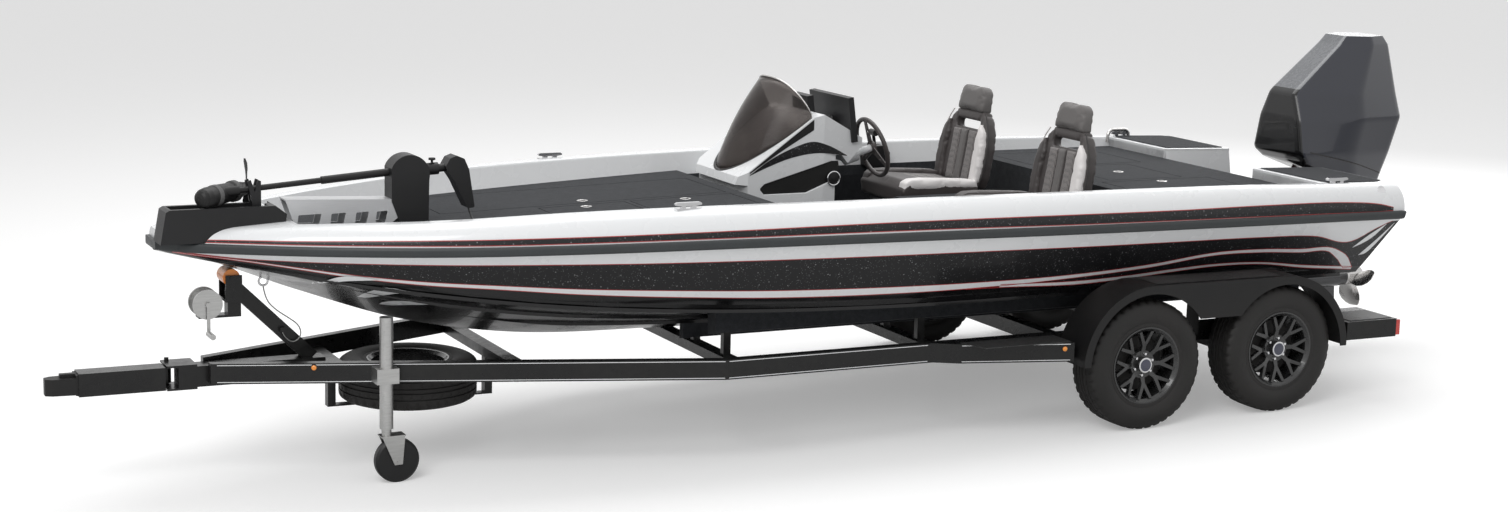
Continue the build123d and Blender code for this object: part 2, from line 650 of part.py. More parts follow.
def jack():
    rail_face = rail_inner(JACK_X) + RAIL_WIDTH
    y = -rail_face - JACK_GAP - JACK_TUBE
    tube = rod((JACK_X, y, JACK_BOTTOM), (JACK_X, y, JACK_TOP), JACK_TUBE)
    bracket = prism_z([(JACK_X - 55, -rail_inner(JACK_X - 55) - RAIL_WIDTH),
                       (JACK_X + 55, -rail_inner(JACK_X + 55) - RAIL_WIDTH),
                       (JACK_X + 55, -rail_face - JACK_GAP - 2 * JACK_TUBE),
                       (JACK_X - 55, -rail_face - JACK_GAP - 2 * JACK_TUBE)], 375, 450)
    bracket = bracket - rod((JACK_X, y, 300), (JACK_X, y, 600), JACK_TUBE - 2)
    body = lean(tube + bracket)
    foot = lean(Pos(JACK_X, y, JACK_BOTTOM) * Box(1, 1, 1)).center()
    stem_x = foot.X
    stem_y = foot.Y
    crown = 2 * CASTER_RADIUS + 12
    leg = rod((stem_x, stem_y, crown + FORK_SHEET + 0.3), (stem_x, stem_y, foot.Z + 60), 24)
    keep("jack_tube", body + leg)
    half = CASTER_WIDTH / 2 + 5
    wheel_x = stem_x + CASTER_TRAIL
    plate = block(stem_x - 34, wheel_x + 40, stem_y - half - FORK_SHEET, stem_y + half + FORK_SHEET, crown,
                  crown + FORK_SHEET)
    sides = Part()
    for side in (-1, 1):
        near = stem_y + side * half
        far = stem_y + side * (half + FORK_SHEET)
        outline = [(stem_x - 30, crown), (wheel_x + 36, crown), (wheel_x + 20, CASTER_RADIUS - 18),
                   (wheel_x - 20, CASTER_RADIUS - 18)]
        sides = sides + prism_y(outline, min(near, far), max(near, far))
    axle = disc_y(wheel_x, CASTER_RADIUS, 8, stem_y - half - FORK_SHEET - 6, stem_y + half + FORK_SHEET + 6)
    keep("caster_fork", plate + sides + axle)
    wheel = Pos(wheel_x, stem_y, CASTER_RADIUS) * spun([
        (8 + SPIN_GAP, -CASTER_WIDTH / 2), (CASTER_RADIUS - 12, -CASTER_WIDTH / 2),
        (CASTER_RADIUS, -CASTER_WIDTH / 2 + 10), (CASTER_RADIUS, CASTER_WIDTH / 2 - 10),
        (CASTER_RADIUS - 12, CASTER_WIDTH / 2), (8 + SPIN_GAP, CASTER_WIDTH / 2)])
    keep("caster_wheel", wheel)


def tail_lamps():
    lamps = []
    for side in (-1, 1):
        lamps.append(lean(block(RAIL_REAR, RAIL_REAR + 26, side * (SIDE_OUTER - 110), side * SIDE_OUTER,
                                RAIL_TOP - 92, RAIL_TOP - 8)))
    keep("tail_lamps", *lamps)


# Hull
def closed_section(x, points):
    return make_face(Polyline(*[(x, y, z) for y, z in points], close=True))


def station(x):
    """Row of the hull table at any x, on a smooth curve through the rows."""
    rows = [row for row in HULL if row[0] >= x]
    i = min(max(len(rows) - 1, 0), len(HULL) - 2)
    before, after = HULL[i], HULL[i + 1]
    span = after[0] - before[0]
    t = (x - before[0]) / span
    values = []
    for k in range(1, len(before)):
        slope = (after[k] - before[k]) / span
        left = (before[k] - HULL[i - 1][k]) / (before[0] - HULL[i - 1][0]) if i else slope
        right = (HULL[i + 2][k] - after[k]) / (HULL[i + 2][0] - after[0]) if i + 2 < len(HULL) else slope
        start = (left + slope) / 2 * span
        end = (right + slope) / 2 * span
        values.append((2 * t ** 3 - 3 * t ** 2 + 1) * before[k] + (t ** 3 - 2 * t ** 2 + t) * start
                      + (3 * t ** 2 - 2 * t ** 3) * after[k] + (t ** 3 - t ** 2) * end)
    return values


def hull_form():
    """Solid outer form of the hull."""
    sections = []
    for x in SECTIONS:
        beam, sheer, chine, chine_z, keel, crown = station(x)
        sections.append(closed_section(x, [(0, keel), (chine, chine_z), (beam, sheer), (-beam, sheer),
                                           (-chine, chine_z)]))
    return loft(sections, ruled=True)


def hull_hollow():
    """Space inside the hull's wall, open at the sheer."""
    sections = []
    for x in SECTIONS:
        if x < HOLLOW_FRONT:
            continue
        beam, sheer, chine, chine_z, keel, crown = station(x)
        half = beam - HULL_WALL
        sections.append(closed_section(x, [(0, keel + 1.1 * HULL_WALL), (chine - HULL_WALL, chine_z + HULL_WALL),
                                           (half, sheer), (half, sheer + 50), (-half, sheer + 50), (-half, sheer),
                                           (-chine + HULL_WALL, chine_z + HULL_WALL)]))
    return loft(sections, ruled=True)


def stern_cut():
    """Space behind the raked transom and in the notch for the outboard."""
    foot = TRANSOM_FOOT
    rise = 1000
    run = rise * sin(radians(TRANSOM_RAKE)) / cos(radians(TRANSOM_RAKE))
    behind = prism_y([(foot - run * 0.4, 45), (foot + run * 0.615, 1060), (foot + run * 0.615, 1500),
                      (foot + 900, 1500), (foot + 900, 45)], -1500, 1500)
    notch = block(TRANSOM_X, TRANSOM_X + 900, -NOTCH_HALF, NOTCH_HALF, 0, 1500)
    return behind + notch


def gunwale_form():
    """Solid form above the sheer, with a rounded shoulder each side."""
    sections = []
    for x in SECTIONS:
        beam, sheer, chine, chine_z, keel, crown = station(x)
        edge = beam - 5
        shoulder = min(SHOULDER, 0.45 * beam)
        start = (x, edge, sheer)
        mid = (x, edge - shoulder * 0.3, sheer + (crown - sheer) * 0.72)
        top = (x, edge - shoulder, crown)
        flip = [(px, -py, pz) for px, py, pz in (top, mid, start)]
        sections.append(make_face(Wire([
            ThreePointArc(start, mid, top),
            Line(top, flip[0]),
            ThreePointArc(*flip),
            Line(flip[2], start),
        ])))
    return loft(sections, ruled=True)


def pocket_form(inset):
    """Space between the gunwales, wider at the top, from the bow deck to the stern."""
    sections = []
    for x in SECTIONS:
        if x < FRONT_DECK_FRONT - 200:
            continue
        beam, sheer, chine, chine_z, keel, crown = station(x)
        low = beam - CAP_WIDTH - CAP_FLARE - inset
        high = beam - CAP_WIDTH + CAP_FLARE - inset
        sections.append(closed_section(x, [(-low, 700), (low, 700), (low, 1060), (high, 1300), (-high, 1300),
                                           (-low, 1060)]))
    return loft(sections, ruled=True)


def deck_frame(shape):
    """Tip the front deck so that it lies flat when the boat is parked."""
    return Pos(FRONT_DECK_REAR, 0, DECK_TOP) * Rot(0, -DECK_FALL, 0) * Pos(-FRONT_DECK_REAR, 0, -DECK_TOP) * shape


def same(shape):
    return shape


def lockers(lids, top, place):
    """Openings with a ledge, the tubs below them and the lids."""
    cuts = []
    tubs = []
    panels = []
    for name, x0, x1, y0, y1, side in lids:
        gap = LID_GAP
        cuts.append(place(block(x0 - gap, x1 + gap, y0 - gap, y1 + gap, top - LID_SHEET - LID_REST, top + 60)))
        ledge = LID_LEDGE
        inside = block(x0 + ledge, x1 - ledge, y0 + ledge, y1 - ledge, top - LOCKER_DEPTH, top + 60)
        outside = block(x0 + ledge - TUB_WALL, x1 - ledge + TUB_WALL, y0 + ledge - TUB_WALL, y1 - ledge + TUB_WALL,
                        top - LOCKER_DEPTH - TUB_WALL, top - DECK_SHEET + 1)
        cuts.append(place(inside))
        tubs.append(place(outside))
        panels.append((name, place(block(x0, x1, y0, y1, top - LID_SHEET, top))))
    return cuts, tubs, panels


def boat():
    outer = hull_form()
    stern = stern_cut()
    inner = hull_hollow() & block(-6000, TRANSOM_X - TRANSOM_WALL, -1300, 1300, 0, 1400)
    hull = outer - stern - inner
    keep("hull", lean(hull))

    cap_solid = gunwale_form()
    pocket = pocket_form(0)
    room = pocket & block(FRONT_DECK_FRONT, REAR_DECK_REAR, -1300, 1300, 0, 1500)
    well = block(REAR_DECK_REAR, 2000, -NOTCH_HALF, NOTCH_HALF, 1000, 1500)
    cap = cap_solid - room - stern - well
    keep("gunwale_cap", lean(cap))

    slab = []
    for x in SECTIONS:
        beam, sheer, chine, chine_z, keel, crown = station(x)
        reach = beam + RUB_REACH
        slab.append(closed_section(x, [(reach - 6, sheer - RUB_BELOW), (reach, sheer - RUB_BELOW + 8),
                                       (reach, sheer + RUB_ABOVE - 8), (reach - 6, sheer + RUB_ABOVE),
                                       (-reach + 6, sheer + RUB_ABOVE), (-reach, sheer + RUB_ABOVE - 8),
                                       (-reach, sheer - RUB_BELOW + 8), (-reach + 6, sheer - RUB_BELOW)]))
    bow_face = slab[-1]
    belt = loft(slab, ruled=True) + extrude(bow_face, amount=RUB_REACH, dir=(-1, 0, 0))
    belt = belt - outer - cap_solid - stern
    keep("rub_rail", lean(belt))

    front = block(FRONT_DECK_FRONT - 50, FRONT_DECK_REAR, -1300, 1300, DECK_TOP - DECK_SHEET, DECK_TOP)
    front = deck_frame(front) & room
    rear = block(REAR_DECK_FRONT, REAR_DECK_REAR + 50, -1300, 1300, REAR_DECK_TOP - DECK_SHEET, REAR_DECK_TOP)
    rear = rear & room
    tub = room & block(FRONT_DECK_REAR - TUB_WALL, REAR_DECK_FRONT + TUB_WALL, -1300, 1300,
                       FLOOR_TOP - FLOOR_SHEET, DECK_TOP - DECK_SHEET + 1)
    tub = tub - (pocket_form(TUB_WALL) & block(FRONT_DECK_REAR, REAR_DECK_FRONT, -1300, 1300, FLOOR_TOP, 1500))
    bulkhead = room & block(REAR_DECK_FRONT, REAR_DECK_FRONT + TUB_WALL, -1300, 1300, FLOOR_TOP,
                            REAR_DECK_TOP - DECK_SHEET + 1)
    tub = tub + bulkhead
    front_cuts, front_tubs, front_lids = lockers(FRONT_LIDS, DECK_TOP, deck_frame)
    rear_cuts, rear_tubs, rear_lids = lockers(REAR_LIDS, REAR_DECK_TOP, same)
    front = front + front_tubs - front_cuts
    rear = rear + rear_tubs - rear_cuts
    well_floor = block(REAR_DECK_REAR, TRANSOM_X - TRANSOM_WALL, -NOTCH_HALF, NOTCH_HALF,
                       WELL_FLOOR - TUB_WALL, WELL_FLOOR)
    well_front = block(REAR_DECK_REAR - TUB_WALL, REAR_DECK_REAR, -NOTCH_HALF, NOTCH_HALF, WELL_FLOOR - TUB_WALL,
                       REAR_DECK_TOP - DECK_SHEET + 1)
    rear = rear + well_floor + well_front - cap
    keep("front_deck", lean(front))
    keep("rear_deck", lean(rear))
    tub = tub - front - rear
    keep("cockpit_tub", lean(tub))
    for name, panel in front_lids + rear_lids:
        keep(name, lean(panel))
    return outer, cap + tub


# Cockpit pieces
def console():
    side = [(-2110, 1142), (-2098, 1186), (-1665, 1500), (-1600, 1516), (CONSOLE_REAR, 1376), (CONSOLE_REAR, 1330),
            (-1428, 1244), (-1455, 1236), (-1450, 1120), (-1560, 960), (-1600, FLOOR_TOP), (-2060, FLOOR_TOP),
            (-2060, 1142)]
    shell = prism_y(side, CONSOLE_PORT, CONSOLE_STARBOARD)
    plan = prism_z([(-2110, CONSOLE_PORT + 60), (-2060, CONSOLE_PORT), (-1600, CONSOLE_PORT),
                    (CONSOLE_REAR, CONSOLE_PORT + 45), (CONSOLE_REAR, CONSOLE_STARBOARD - 45),
                    (-1600, CONSOLE_STARBOARD), (-2060, CONSOLE_STARBOARD), (-2110, CONSOLE_STARBOARD - 60)],
                   FLOOR_TOP, 1600)
    shell = shell & plan
    knees = soft_prism_y([(-1900, FLOOR_TOP - 60), (-1860, 1060), (-1640, 1290), (-1480, 1290), (-1380, 1180),
                          (-1380, FLOOR_TOP - 60)],
                         25, CONSOLE_PORT + CONSOLE_WALL, CONSOLE_STARBOARD - CONSOLE_WALL)
    glovebox = soft_prism_y([(-1990, 1120), (-1960, 1148), (-1545, 1262), (-1500, 1262), (-1492, 1210),
                             (-1530, 1150),
                             (-1700, 1085), (-1960, 1085)], 12, CONSOLE_PORT - 1, CONSOLE_PORT + 12)
    hub = Vector(*WHEEL_HUB)
    way = Vector(*WHEEL_WAY).normalized()
    column = rod(tuple(hub - way * 190), tuple(hub - way * 13.5), 22)
    boot = rod(tuple(hub - way * 190), tuple(hub - way * 110), 42)
    body = shell - knees - glovebox
    body = max(body.solids(), key=lambda s: s.volume) + column + boot
    keep("console", lean(body))

    outside = [(-2096, 1160), (-2098, 1194), (-1822, 1690), (-1790, 1708), (-1735, 1708), (-1640, 1500)]
    inside = [(-2060, 1160), (-2070, 1190), (-1806, 1682), (-1786, 1700), (-1700, 1700), (-1580, 1460)]
    half = prism_y(outside, CONSOLE_PORT + 30, CONSOLE_STARBOARD - 30)
    hollow = prism_y(inside, CONSOLE_PORT + 36, CONSOLE_STARBOARD - 36)
    rake = prism_x([(CONSOLE_PORT + 30, 1150), (CONSOLE_PORT + 30, 1500), (CONSOLE_PORT + 90, 1720),
                    (CONSOLE_STARBOARD - 90, 1720), (CONSOLE_STARBOARD - 30, 1500),
                     (CONSOLE_STARBOARD - 30, 1150)],
                   -2200, -1500)
    rake_inside = prism_x([(CONSOLE_PORT + 36, 1140), (CONSOLE_PORT + 36, 1500), (CONSOLE_PORT + 96, 1720),
                           (CONSOLE_STARBOARD - 96, 1720), (CONSOLE_STARBOARD - 36, 1500),
                           (CONSOLE_STARBOARD - 36, 1140)], -2200, -1500)
    visor = (half & rake) - (hollow & rake_inside) - body
    keep("windshield", lean(max(visor.solids(), key=lambda s: s.volume)))

    slope = degrees(atan2(1516 - 1376, CONSOLE_REAR + 1600))
    screen = Pos(-1415, SCREEN_Y, 1480) * Rot(0, -8, 0) * Box(34, SCREEN_WIDTH, SCREEN_HEIGHT)
    stem = rod((-1450, SCREEN_Y, 1420), (-1418, SCREEN_Y, 1470), 24)
    foot = Pos(-1452, SCREEN_Y, 1448) * Rot(0, slope, 0) * Box(90, 120, 26)
    screen = screen + stem + foot - body
    second = Pos(-1560, SCREEN_Y + 90, 1540) * Rot(0, -8, 0) * Box(40, 190, 110) - body
    keep("displays", *[lean(max(piece.solids(), key=lambda s: s.volume)) for piece in (screen, second)])


def steering():
    way = Vector(*WHEEL_WAY)
    plane = Plane(origin=WHEEL_HUB, z_dir=way)
    ring = plane * Torus(WHEEL_RADIUS, WHEEL_GRIP)
    boss = plane * (Cylinder(34, 26) + Pos(0, 0, -22) * Cylinder(50, 10))
    spokes = Part()
    for angle in WHEEL_SPOKES:
        arm = Polyline((20, -24, 0), (WHEEL_RADIUS - 4, -12, 0), (WHEEL_RADIUS - 4, 12, 0), (20, 24, 0),
                       close=True)
        spoke = extrude(make_face(arm), amount=6) - Pos(96, 0, 0) * Cylinder(8, 40)
        spokes = spokes + plane * (Rot(0, 0, angle) * Pos(0, 0, -8) * spoke)
    keep("steering_wheel", lean(ring + spokes + boss - plane * Pos(0, 0, -30) * Cylinder(60, 33)))


def throttle(cap):
    box = soft_prism_y([(-960, 1110), (-960, 1190), (-900, 1232), (-830, 1232), (-800, 1190), (-800, 1110)],
                       10, 930, 1080)
    box = min((box - cap).solids(), key=lambda s: s.center().Y)
    lever = rod((-880, 968, 1215), (-905, 950, 1300), 10)
    grip = Pos(-908, 945, 1312) * Rot(90, 0, 0) * Cylinder(19, 64)
    keep("throttle", lean(box + lever + grip))


def seat(x, y):
    """Bucket seat: a cushion with raised sides, a winged back with an opening, and a head rest."""
    half = SEAT_WIDTH / 2
    cushion = soft_prism_y([(x - 470, SEAT_FOOT), (x - 480, SEAT_FOOT + 100), (x - 430, SEAT_FOOT + 150),
                            (x + 40, SEAT_FOOT + 110),
                            (x + 60, SEAT_FOOT)], 24, y - half, y + half)
    dish = prism_x([(y - half + 110, SEAT_FOOT + 90), (y + half - 110, SEAT_FOOT + 90),
                    (y + half - 75, SEAT_FOOT + 170),
                    (y - half + 75, SEAT_FOOT + 170)], x - 600, x + 100)
    cushion = cushion - dish
    outline = [(-0.88 * half, 0), (-half, 130), (-0.98 * half, 300), (-0.62 * half, 440), (-0.44 * half, 590),
               (0.44 * half, 590), (0.62 * half, 440), (0.98 * half, 300), (half, 130), (0.88 * half, 0)]
    face = make_face(Polyline(*[(0, a, b) for a, b in outline], close=True))
    face = fillet(face.vertices(), 30)
    back = extrude(face, amount=SEAT_BACK, dir=(1, 0, 0))
    window = Pos(SEAT_BACK / 2, 0, SEAT_WINDOW) * Box(SEAT_BACK + 20, 0.5 * half, 46)
    hollow = prism_z([(-20, -0.56 * half), (34, -0.5 * half), (34, 0.5 * half), (-20, 0.56 * half)],
                     60, SEAT_WINDOW - 23)
    back = back - window - hollow
    back = Pos(x, y, SEAT_FOOT + 60) * Rot(0, SEAT_LEAN, 0) * back
    return cushion + back


def seats():
    bases = []
    for name, x, y in (("seat_driver", -700, 380), ("seat_passenger", -640, -540)):
        keep(name, lean(seat(x, y)))
        bases.append(lean(block(x - 430, x + 40, y - 190, y + 190, FLOOR_TOP, SEAT_FOOT - 0.3)))
    bases.append(lean(block(-1230, -560, -260, 100, FLOOR_TOP, STEP_BOX_TOP)))
    keep("seat_boxes", *bases)


# Fittings
def cord(name, corners, radius):
    """Round cord along its corner points, each turned on an arc that takes most of the shorter run."""
    points = [Vector(*corner) for corner in corners]
    edges = []
    start = points[0]
    for before, corner, after in zip(points, points[1:], points[2:]):
        run_in = corner - before
        run_out = after - corner
        reach = 0.45 * min(run_in.length, run_out.length)
        arc_start = corner - run_in.normalized() * reach
        arc_end = corner + run_out.normalized() * reach
        edges.append(Line(start, arc_start))
        edges.append(TangentArc(arc_start, arc_end, tangent=run_in))
        start = arc_end
    edges.append(Line(start, points[-1]))
    path = Wire(edges)
    keep(name, lean(sweep(Plane(origin=path @ 0, z_dir=path % 0) * Circle(radius), path=path)))


def cords():
    """Safety cable from the bow eye to the winch post, and the cable from the trolling motor's head."""
    cord("bow_cable", BOW_CABLE, BOW_CABLE_RADIUS)
    lying = [(x, y, tower_foot(x) + MOTOR_CABLE_RADIUS + LID_REST) for x, y in MOTOR_CABLE]
    cord("motor_cable", [MOTOR_CABLE_TOP] + lying, MOTOR_CABLE_RADIUS)


def fittings(gunwale, hull):
    """Pop-up cleats in the gunwale, and two stainless grab rails inboard of the starboard one."""
    cleats = []
    for x, y in ((-2950, 920), (900, 1040)):
        for side in (-1, 1):
            top = station(x)[5]
            horn = soft_prism_y([(x - 78, top + 20), (x - 60, top + 32), (x + 60, top + 32), (x + 78, top + 20),
                                 (x + 40, top + 14), (x - 40, top + 14)], 5, side * y - 11, side * y + 11)
            posts = [block(x + dx - 12, x + dx + 12, side * y - 10, side * y + 10, top - 20, top + 20)
                     for dx in (-28, 28)]
            plate = block(x - 64, x + 64, side * y - 22, side * y + 22, top - 20, top + 4)
            cleat = horn + posts + plate - gunwale
            cleats.append(lean(max(cleat.solids(), key=lambda s: s.volume)))
    x = BOW_CABLE[0][0]
    eye = Pos(x, 0, BOW_CABLE[0][2] + EYE_RADIUS + EYE_BAR + LID_REST) * Rot(90, 0, 0) * Torus(EYE_RADIUS, EYE_BAR)
    eye = eye - hull
    keep("cleats", *cleats, lean(min(eye.solids(), key=lambda s: s.center().Z)))
    rails = []
    for x0, x1 in ((430, 640), (770, 930)):
        top = station(x0)[5]
        path = FilletPolyline((x0, GRAB_Y, top - 30), (x0 + 8, GRAB_Y, top + 46), (x1 - 8, GRAB_Y, top + 46),
                              (x1, GRAB_Y, top - 30), radius=34)
        tube = sweep(Plane(origin=(x0, GRAB_Y, top - 30), z_dir=path % 0) * Circle(GRAB_RADIUS), path=path)
        rail = tube - gunwale
        rails.append(lean(max(rail.solids(), key=lambda s: s.center().Z)))
    keep("grab_rails", *rails)


# Trolling motor stowed on the bow
def tower_foot(x):
    """Height of the front deck's top below the tower."""
    return DECK_TOP + (x - FRONT_DECK_REAR) * tan(radians(DECK_FALL))


def trolling_motor(gunwale):
    y = TROLL_Y
    nose = Vector(*POD_NOSE)
    way = Vector(*POD_WAY).normalized()
    tail = nose + way * (POD_LENGTH + 0.5)
    face = Plane(origin=tuple(tail), x_dir=(0, 0, 1), z_dir=tuple(way))
    sweep = face * Pos(0, 0, 14) * Cylinder(TROLL_BLADE[-1][0] + 4, TROLL_SWEEP)
    base = prism_y([(-5345, 1076), (-5318, 1228), (-5300, 1238), (-4800, 1238), (-4746, 1196), (-4766, 1076)],
                   y - 75, y + 75)
    base = base - gunwale
    slot = block(-5290, -4830, y - 52, y + 52, 1222, 1250)
    base = max(base.solids(), key=lambda s: s.volume) - slot
    for side in (-1, 1):
        prong = prism_y([(-4892, 1200), (-4922, 1352), (-4906, 1358), (-4888, 1300), (-4872, 1358), (-4858, 1352),
                         (-4858, 1200)], y + side * 24 - 6, y + side * 24 + 6)
        base = base + prong
    base = max((base - sweep).solids(), key=lambda s: s.volume)
    keep("troll_base", lean(base))
    arm = Part()
    for side in (-1, 1):
        web = prism_y([(-4750, 1262), (-4700, 1122), (-4250, 1106), (-4172, 1168), (-4196, 1240)],
                      y + side * 52 - 3, y + side * 52 + 3)
        for x0, x1 in ((-4692, -4572), (-4530, -4452), (-4408, -4338), (-4306, -4244)):
            web = web - soft_prism_y([(x0 + 6, 1184), (x0, 1130), (x1 - 14, 1126), (x1, 1186)], 6, y - 90, y + 90)
        arm = arm + web
    arm = arm + prism_y([(-4749, 1262), (-4747, 1254), (-4199, 1232), (-4196, 1240)], y - 54, y + 54)
    arm = arm - base
    arm = max(arm.solids(), key=lambda s: s.volume)

    tower = make_face(Wire([
        Line((-4226, y, 1390), (-4226, y, 1230)), Line((-4226, y, 1230), (-4170, y, tower_foot(-4170))),
        Line((-4170, y, tower_foot(-4170)), (-4040, y, tower_foot(-4040))),
        Line((-4040, y, tower_foot(-4040)), (-4036, y, 1330)),
        ThreePointArc((-4036, y, 1330), (-4115, y, 1452), (-4226, y, 1390)),
    ]))
    tower = extrude(tower, amount=TOWER_HALF, dir=(0, 1, 0), both=True)
    tower = tower - arm
    keep("troll_arm", lean(arm))
    head = soft_prism_y([(-3950, 1385), (-3925, 1428), (-3892, 1440), (-3852, 1424), (-3828, 1370), (-3798, 1180),
                         (-3836, 1178), (-3900, 1310)], 10, y - 46, y + 46)
    collar = rod((-4060, y, 1372), (-3925, y, 1379), 20) + rod((-4030, y, 1373), (-3975, y, 1376), 30)
    knob = rod((-4004, y, 1374), (-4004, y, 1424), 6) + rod((-4004, y, 1418), (-4004, y, 1428), 17)
    x, plug_y = MOTOR_CABLE[-1]
    plug = block(x - 34, x + 16, plug_y - 44, plug_y - CORD_GAP, tower_foot(x) + 1.2, tower_foot(x) + 34)
    keep("troll_tower", lean(tower + collar + knob + head), lean(plug))

    frame = Plane(origin=tuple(nose), x_dir=(0, 0, 1), z_dir=tuple(way))
    points = [(0, 0), (14, 1), (28, 6), (38, 15), (45, 30), (POD_RADIUS, 60), (POD_RADIUS, 150),
              (46, POD_LENGTH - 130), (42, POD_LENGTH - 60), (30, POD_LENGTH), (0, POD_LENGTH)]
    profile = make_face(Polyline(*[(radius, 0, along) for radius, along in points], close=True))
    body = revolve(profile, axis=Axis.Z)
    pod = frame * body
    socket = nose + way * 105
    shaft_end = Vector(-4150, y, 1372)
    shaft_start = socket + Vector(20, 10, 12)
    shaft_way = (shaft_end - shaft_start).normalized()
    pod = pod + rod(tuple(shaft_start), tuple(shaft_end), SHAFT_RADIUS)
    pod = pod + rod(tuple(shaft_start), tuple(shaft_start + shaft_way * 105), SHAFT_RADIUS + 10)
    pod = pod + rod(tuple(shaft_end - shaft_way * 410), tuple(shaft_end), SHAFT_RADIUS + 5)
    pod = max((pod - tower).solids(), key=lambda s: s.volume)
    keep("troll_motor", lean(pod))
    hub = Pos(0, 0, 14) * Cylinder(30, 28)
    blades = Part()
    for turn in (0, 180):
        blades = blades + Rot(turn, 0, 0) * twisted_blade(TROLL_BLADE, 7)
    blades = Pos(0, 0, 14) * Rot(0, -90, 0) * blades
    keep("troll_propeller", lean(face * (hub + blades)))


# Outboard
def transom_bracket():
    """Jack plate on the transom, with the two clamp cheeks and the tilt tube."""
    plate = block(TRANSOM_X, TRANSOM_X + 22, -BRACKET_HALF, BRACKET_HALF, 690, 1010)
    for side in (-1, 1):
        plate = plate + block(TRANSOM_X, TILT_X - 90, side * (BRACKET_HALF - 14), side * BRACKET_HALF, 700, 1005)
    carriage = block(TILT_X - 112, TILT_X - 90, -BRACKET_HALF, BRACKET_HALF, 700, 1005)
    ram = rod((TRANSOM_X + 60, 0, 720), (TRANSOM_X + 60, 0, 990), 26)
    bridge = block(TRANSOM_X, TILT_X - 90, -40, 40, 705, 730) + block(TRANSOM_X, TILT_X - 90, -40, 40, 975, 1000)
    body = plate + carriage + ram + bridge
    for side in (-1, 1):
        cheek = soft_prism_y([(TILT_X - 92, 690), (TILT_X - 92, TILT_Z + 36), (TILT_X + 30, TILT_Z + 36),
                              (TILT_X + 38, TILT_Z - 30), (TILT_X - 20, 720), (TILT_X - 50, 690)], 12,
                             min(side * 110, side * 138), max(side * 110, side * 138))
        body = body + cheek
    body = body + disc_y(TILT_X, TILT_Z, TILT_PIN, -150, 150)
    keep("transom_bracket", lean(body))


def swivel():
    tube = disc_y(TILT_X, TILT_Z, 34, -104, 104) - disc_y(TILT_X, TILT_Z, TILT_PIN + SPIN_GAP, -200, 200)
    steer = rod((STEER_X, 0, 760), (STEER_X, 0, 1020), 56)
    web = prism_y([(TILT_X + 20, 1010), (TILT_X + 24, 990), (STEER_X - 30, 780), (STEER_X, 780), (STEER_X, 1018)],
                  -60, 60)
    body = tube + steer + web - rod((STEER_X, 0, 700), (STEER_X, 0, 1100), STEER_PIN + SPIN_GAP)
    keep("swivel_bracket", lean(body - disc_y(TILT_X, TILT_Z, TILT_PIN + SPIN_GAP, -200, 200)))


def blade_section(fore, aft, half, height):
    """Streamlined cross-section of the leg at a height: round nose and a fine tail."""
    middle = fore + 0.38 * (aft - fore)
    nose = Spline((middle, -half, height), (fore, 0, height), (middle, half, height),
                  tangents=((-1, 0, 0), (1, 0, 0)))
    tail = Polyline((middle, half, height), (aft, 3, height), (aft, -3, height), (middle, -half, height))
    return make_face(Wire([nose, *tail.edges()]))


def lower_unit():
    """Midsection, anti-ventilation plate, torpedo and skeg of the outboard."""
    pivot = rod((STEER_X, 0, 720), (STEER_X, 0, 1100), STEER_PIN)
    mount = block(STEER_X - 50, STEER_X + 120, -52, 52, 1026, ENGINE_FOOT)
    saddle = block(STEER_X - 90, STEER_X + 330, -95, 95, 1072, ENGINE_FOOT)
    shaft = loft([blade_section(STEER_X + 64, STEER_X + 300, 62, 1080),
                  blade_section(STEER_X + 64, STEER_X + 290, 58, 745)], ruled=True)
    foot = block(STEER_X - 34, STEER_X + 140, -46, 46, 700, 752)
    leg = loft([blade_section(STEER_X - 40, STEER_X + 290, 50, 752),
                blade_section(STEER_X, STEER_X + 300, 34, PLATE_Z)], ruled=True)
    strut = loft([blade_section(STEER_X, STEER_X + 300, 34, PLATE_Z + 4),
                  blade_section(STEER_X + 30, STEER_X + 270, 24, PROP_Z + 40)], ruled=True)
    plate = prism_z([(STEER_X - 30, 0), (STEER_X + 40, -52), (STEER_X + 240, -96), (PROP_HUB_FRONT + 120, -104),
                     (PROP_HUB_FRONT + 140, -60), (PROP_HUB_FRONT + 140, 60), (PROP_HUB_FRONT + 120, 104),
                     (STEER_X + 240, 96), (STEER_X + 40, 52)], PLATE_Z, PLATE_Z + 9)
    torpedo = spun_x(PROP_HUB_FRONT - TORPEDO_LENGTH, 0, PROP_Z, [
        (0, 0), (18, 20), (60, 42), (120, GEARCASE_RADIUS - 4), (190, GEARCASE_RADIUS),
        (TORPEDO_LENGTH - 60, GEARCASE_RADIUS - 2), (TORPEDO_LENGTH, 54), (TORPEDO_LENGTH, 0)])
    skeg = loft([blade_section(STEER_X + 70, PROP_HUB_FRONT - 60, 12, PROP_Z - 40),
                 blade_section(PROP_HUB_FRONT - 190, PROP_HUB_FRONT - 50, 5, SKEG_LOW)], ruled=True)
    body = pivot + mount + saddle + shaft + foot + leg + strut + plate + torpedo + skeg
    keep("gearcase", lean(body))


def propeller():
    """Barrel hub with four raked blades, each a loft of twisted sections."""
    x0 = PROP_HUB_FRONT + 0.5
    hub = spun_x(x0, 0, PROP_Z, [(0, 18), (0, 52), (12, 55), (90, 50), (116, 56), (116, 46), (60, 30), (60, 18)])
    shaft = spun_x(x0, 0, PROP_Z, [(0, 0), (0, 19), (96, 19), (104, 12), (104, 0)])
    wheel = hub + shaft
    for i in range(PROP_BLADES):
        blade = Rot(360 / PROP_BLADES * i, 0, 0) * twisted_blade(PROP_BLADE, PROP_BLADE_THICKNESS)
        wheel = wheel + Pos(x0 + 46, 0, PROP_Z) * blade
    keep("propeller", lean(wheel))


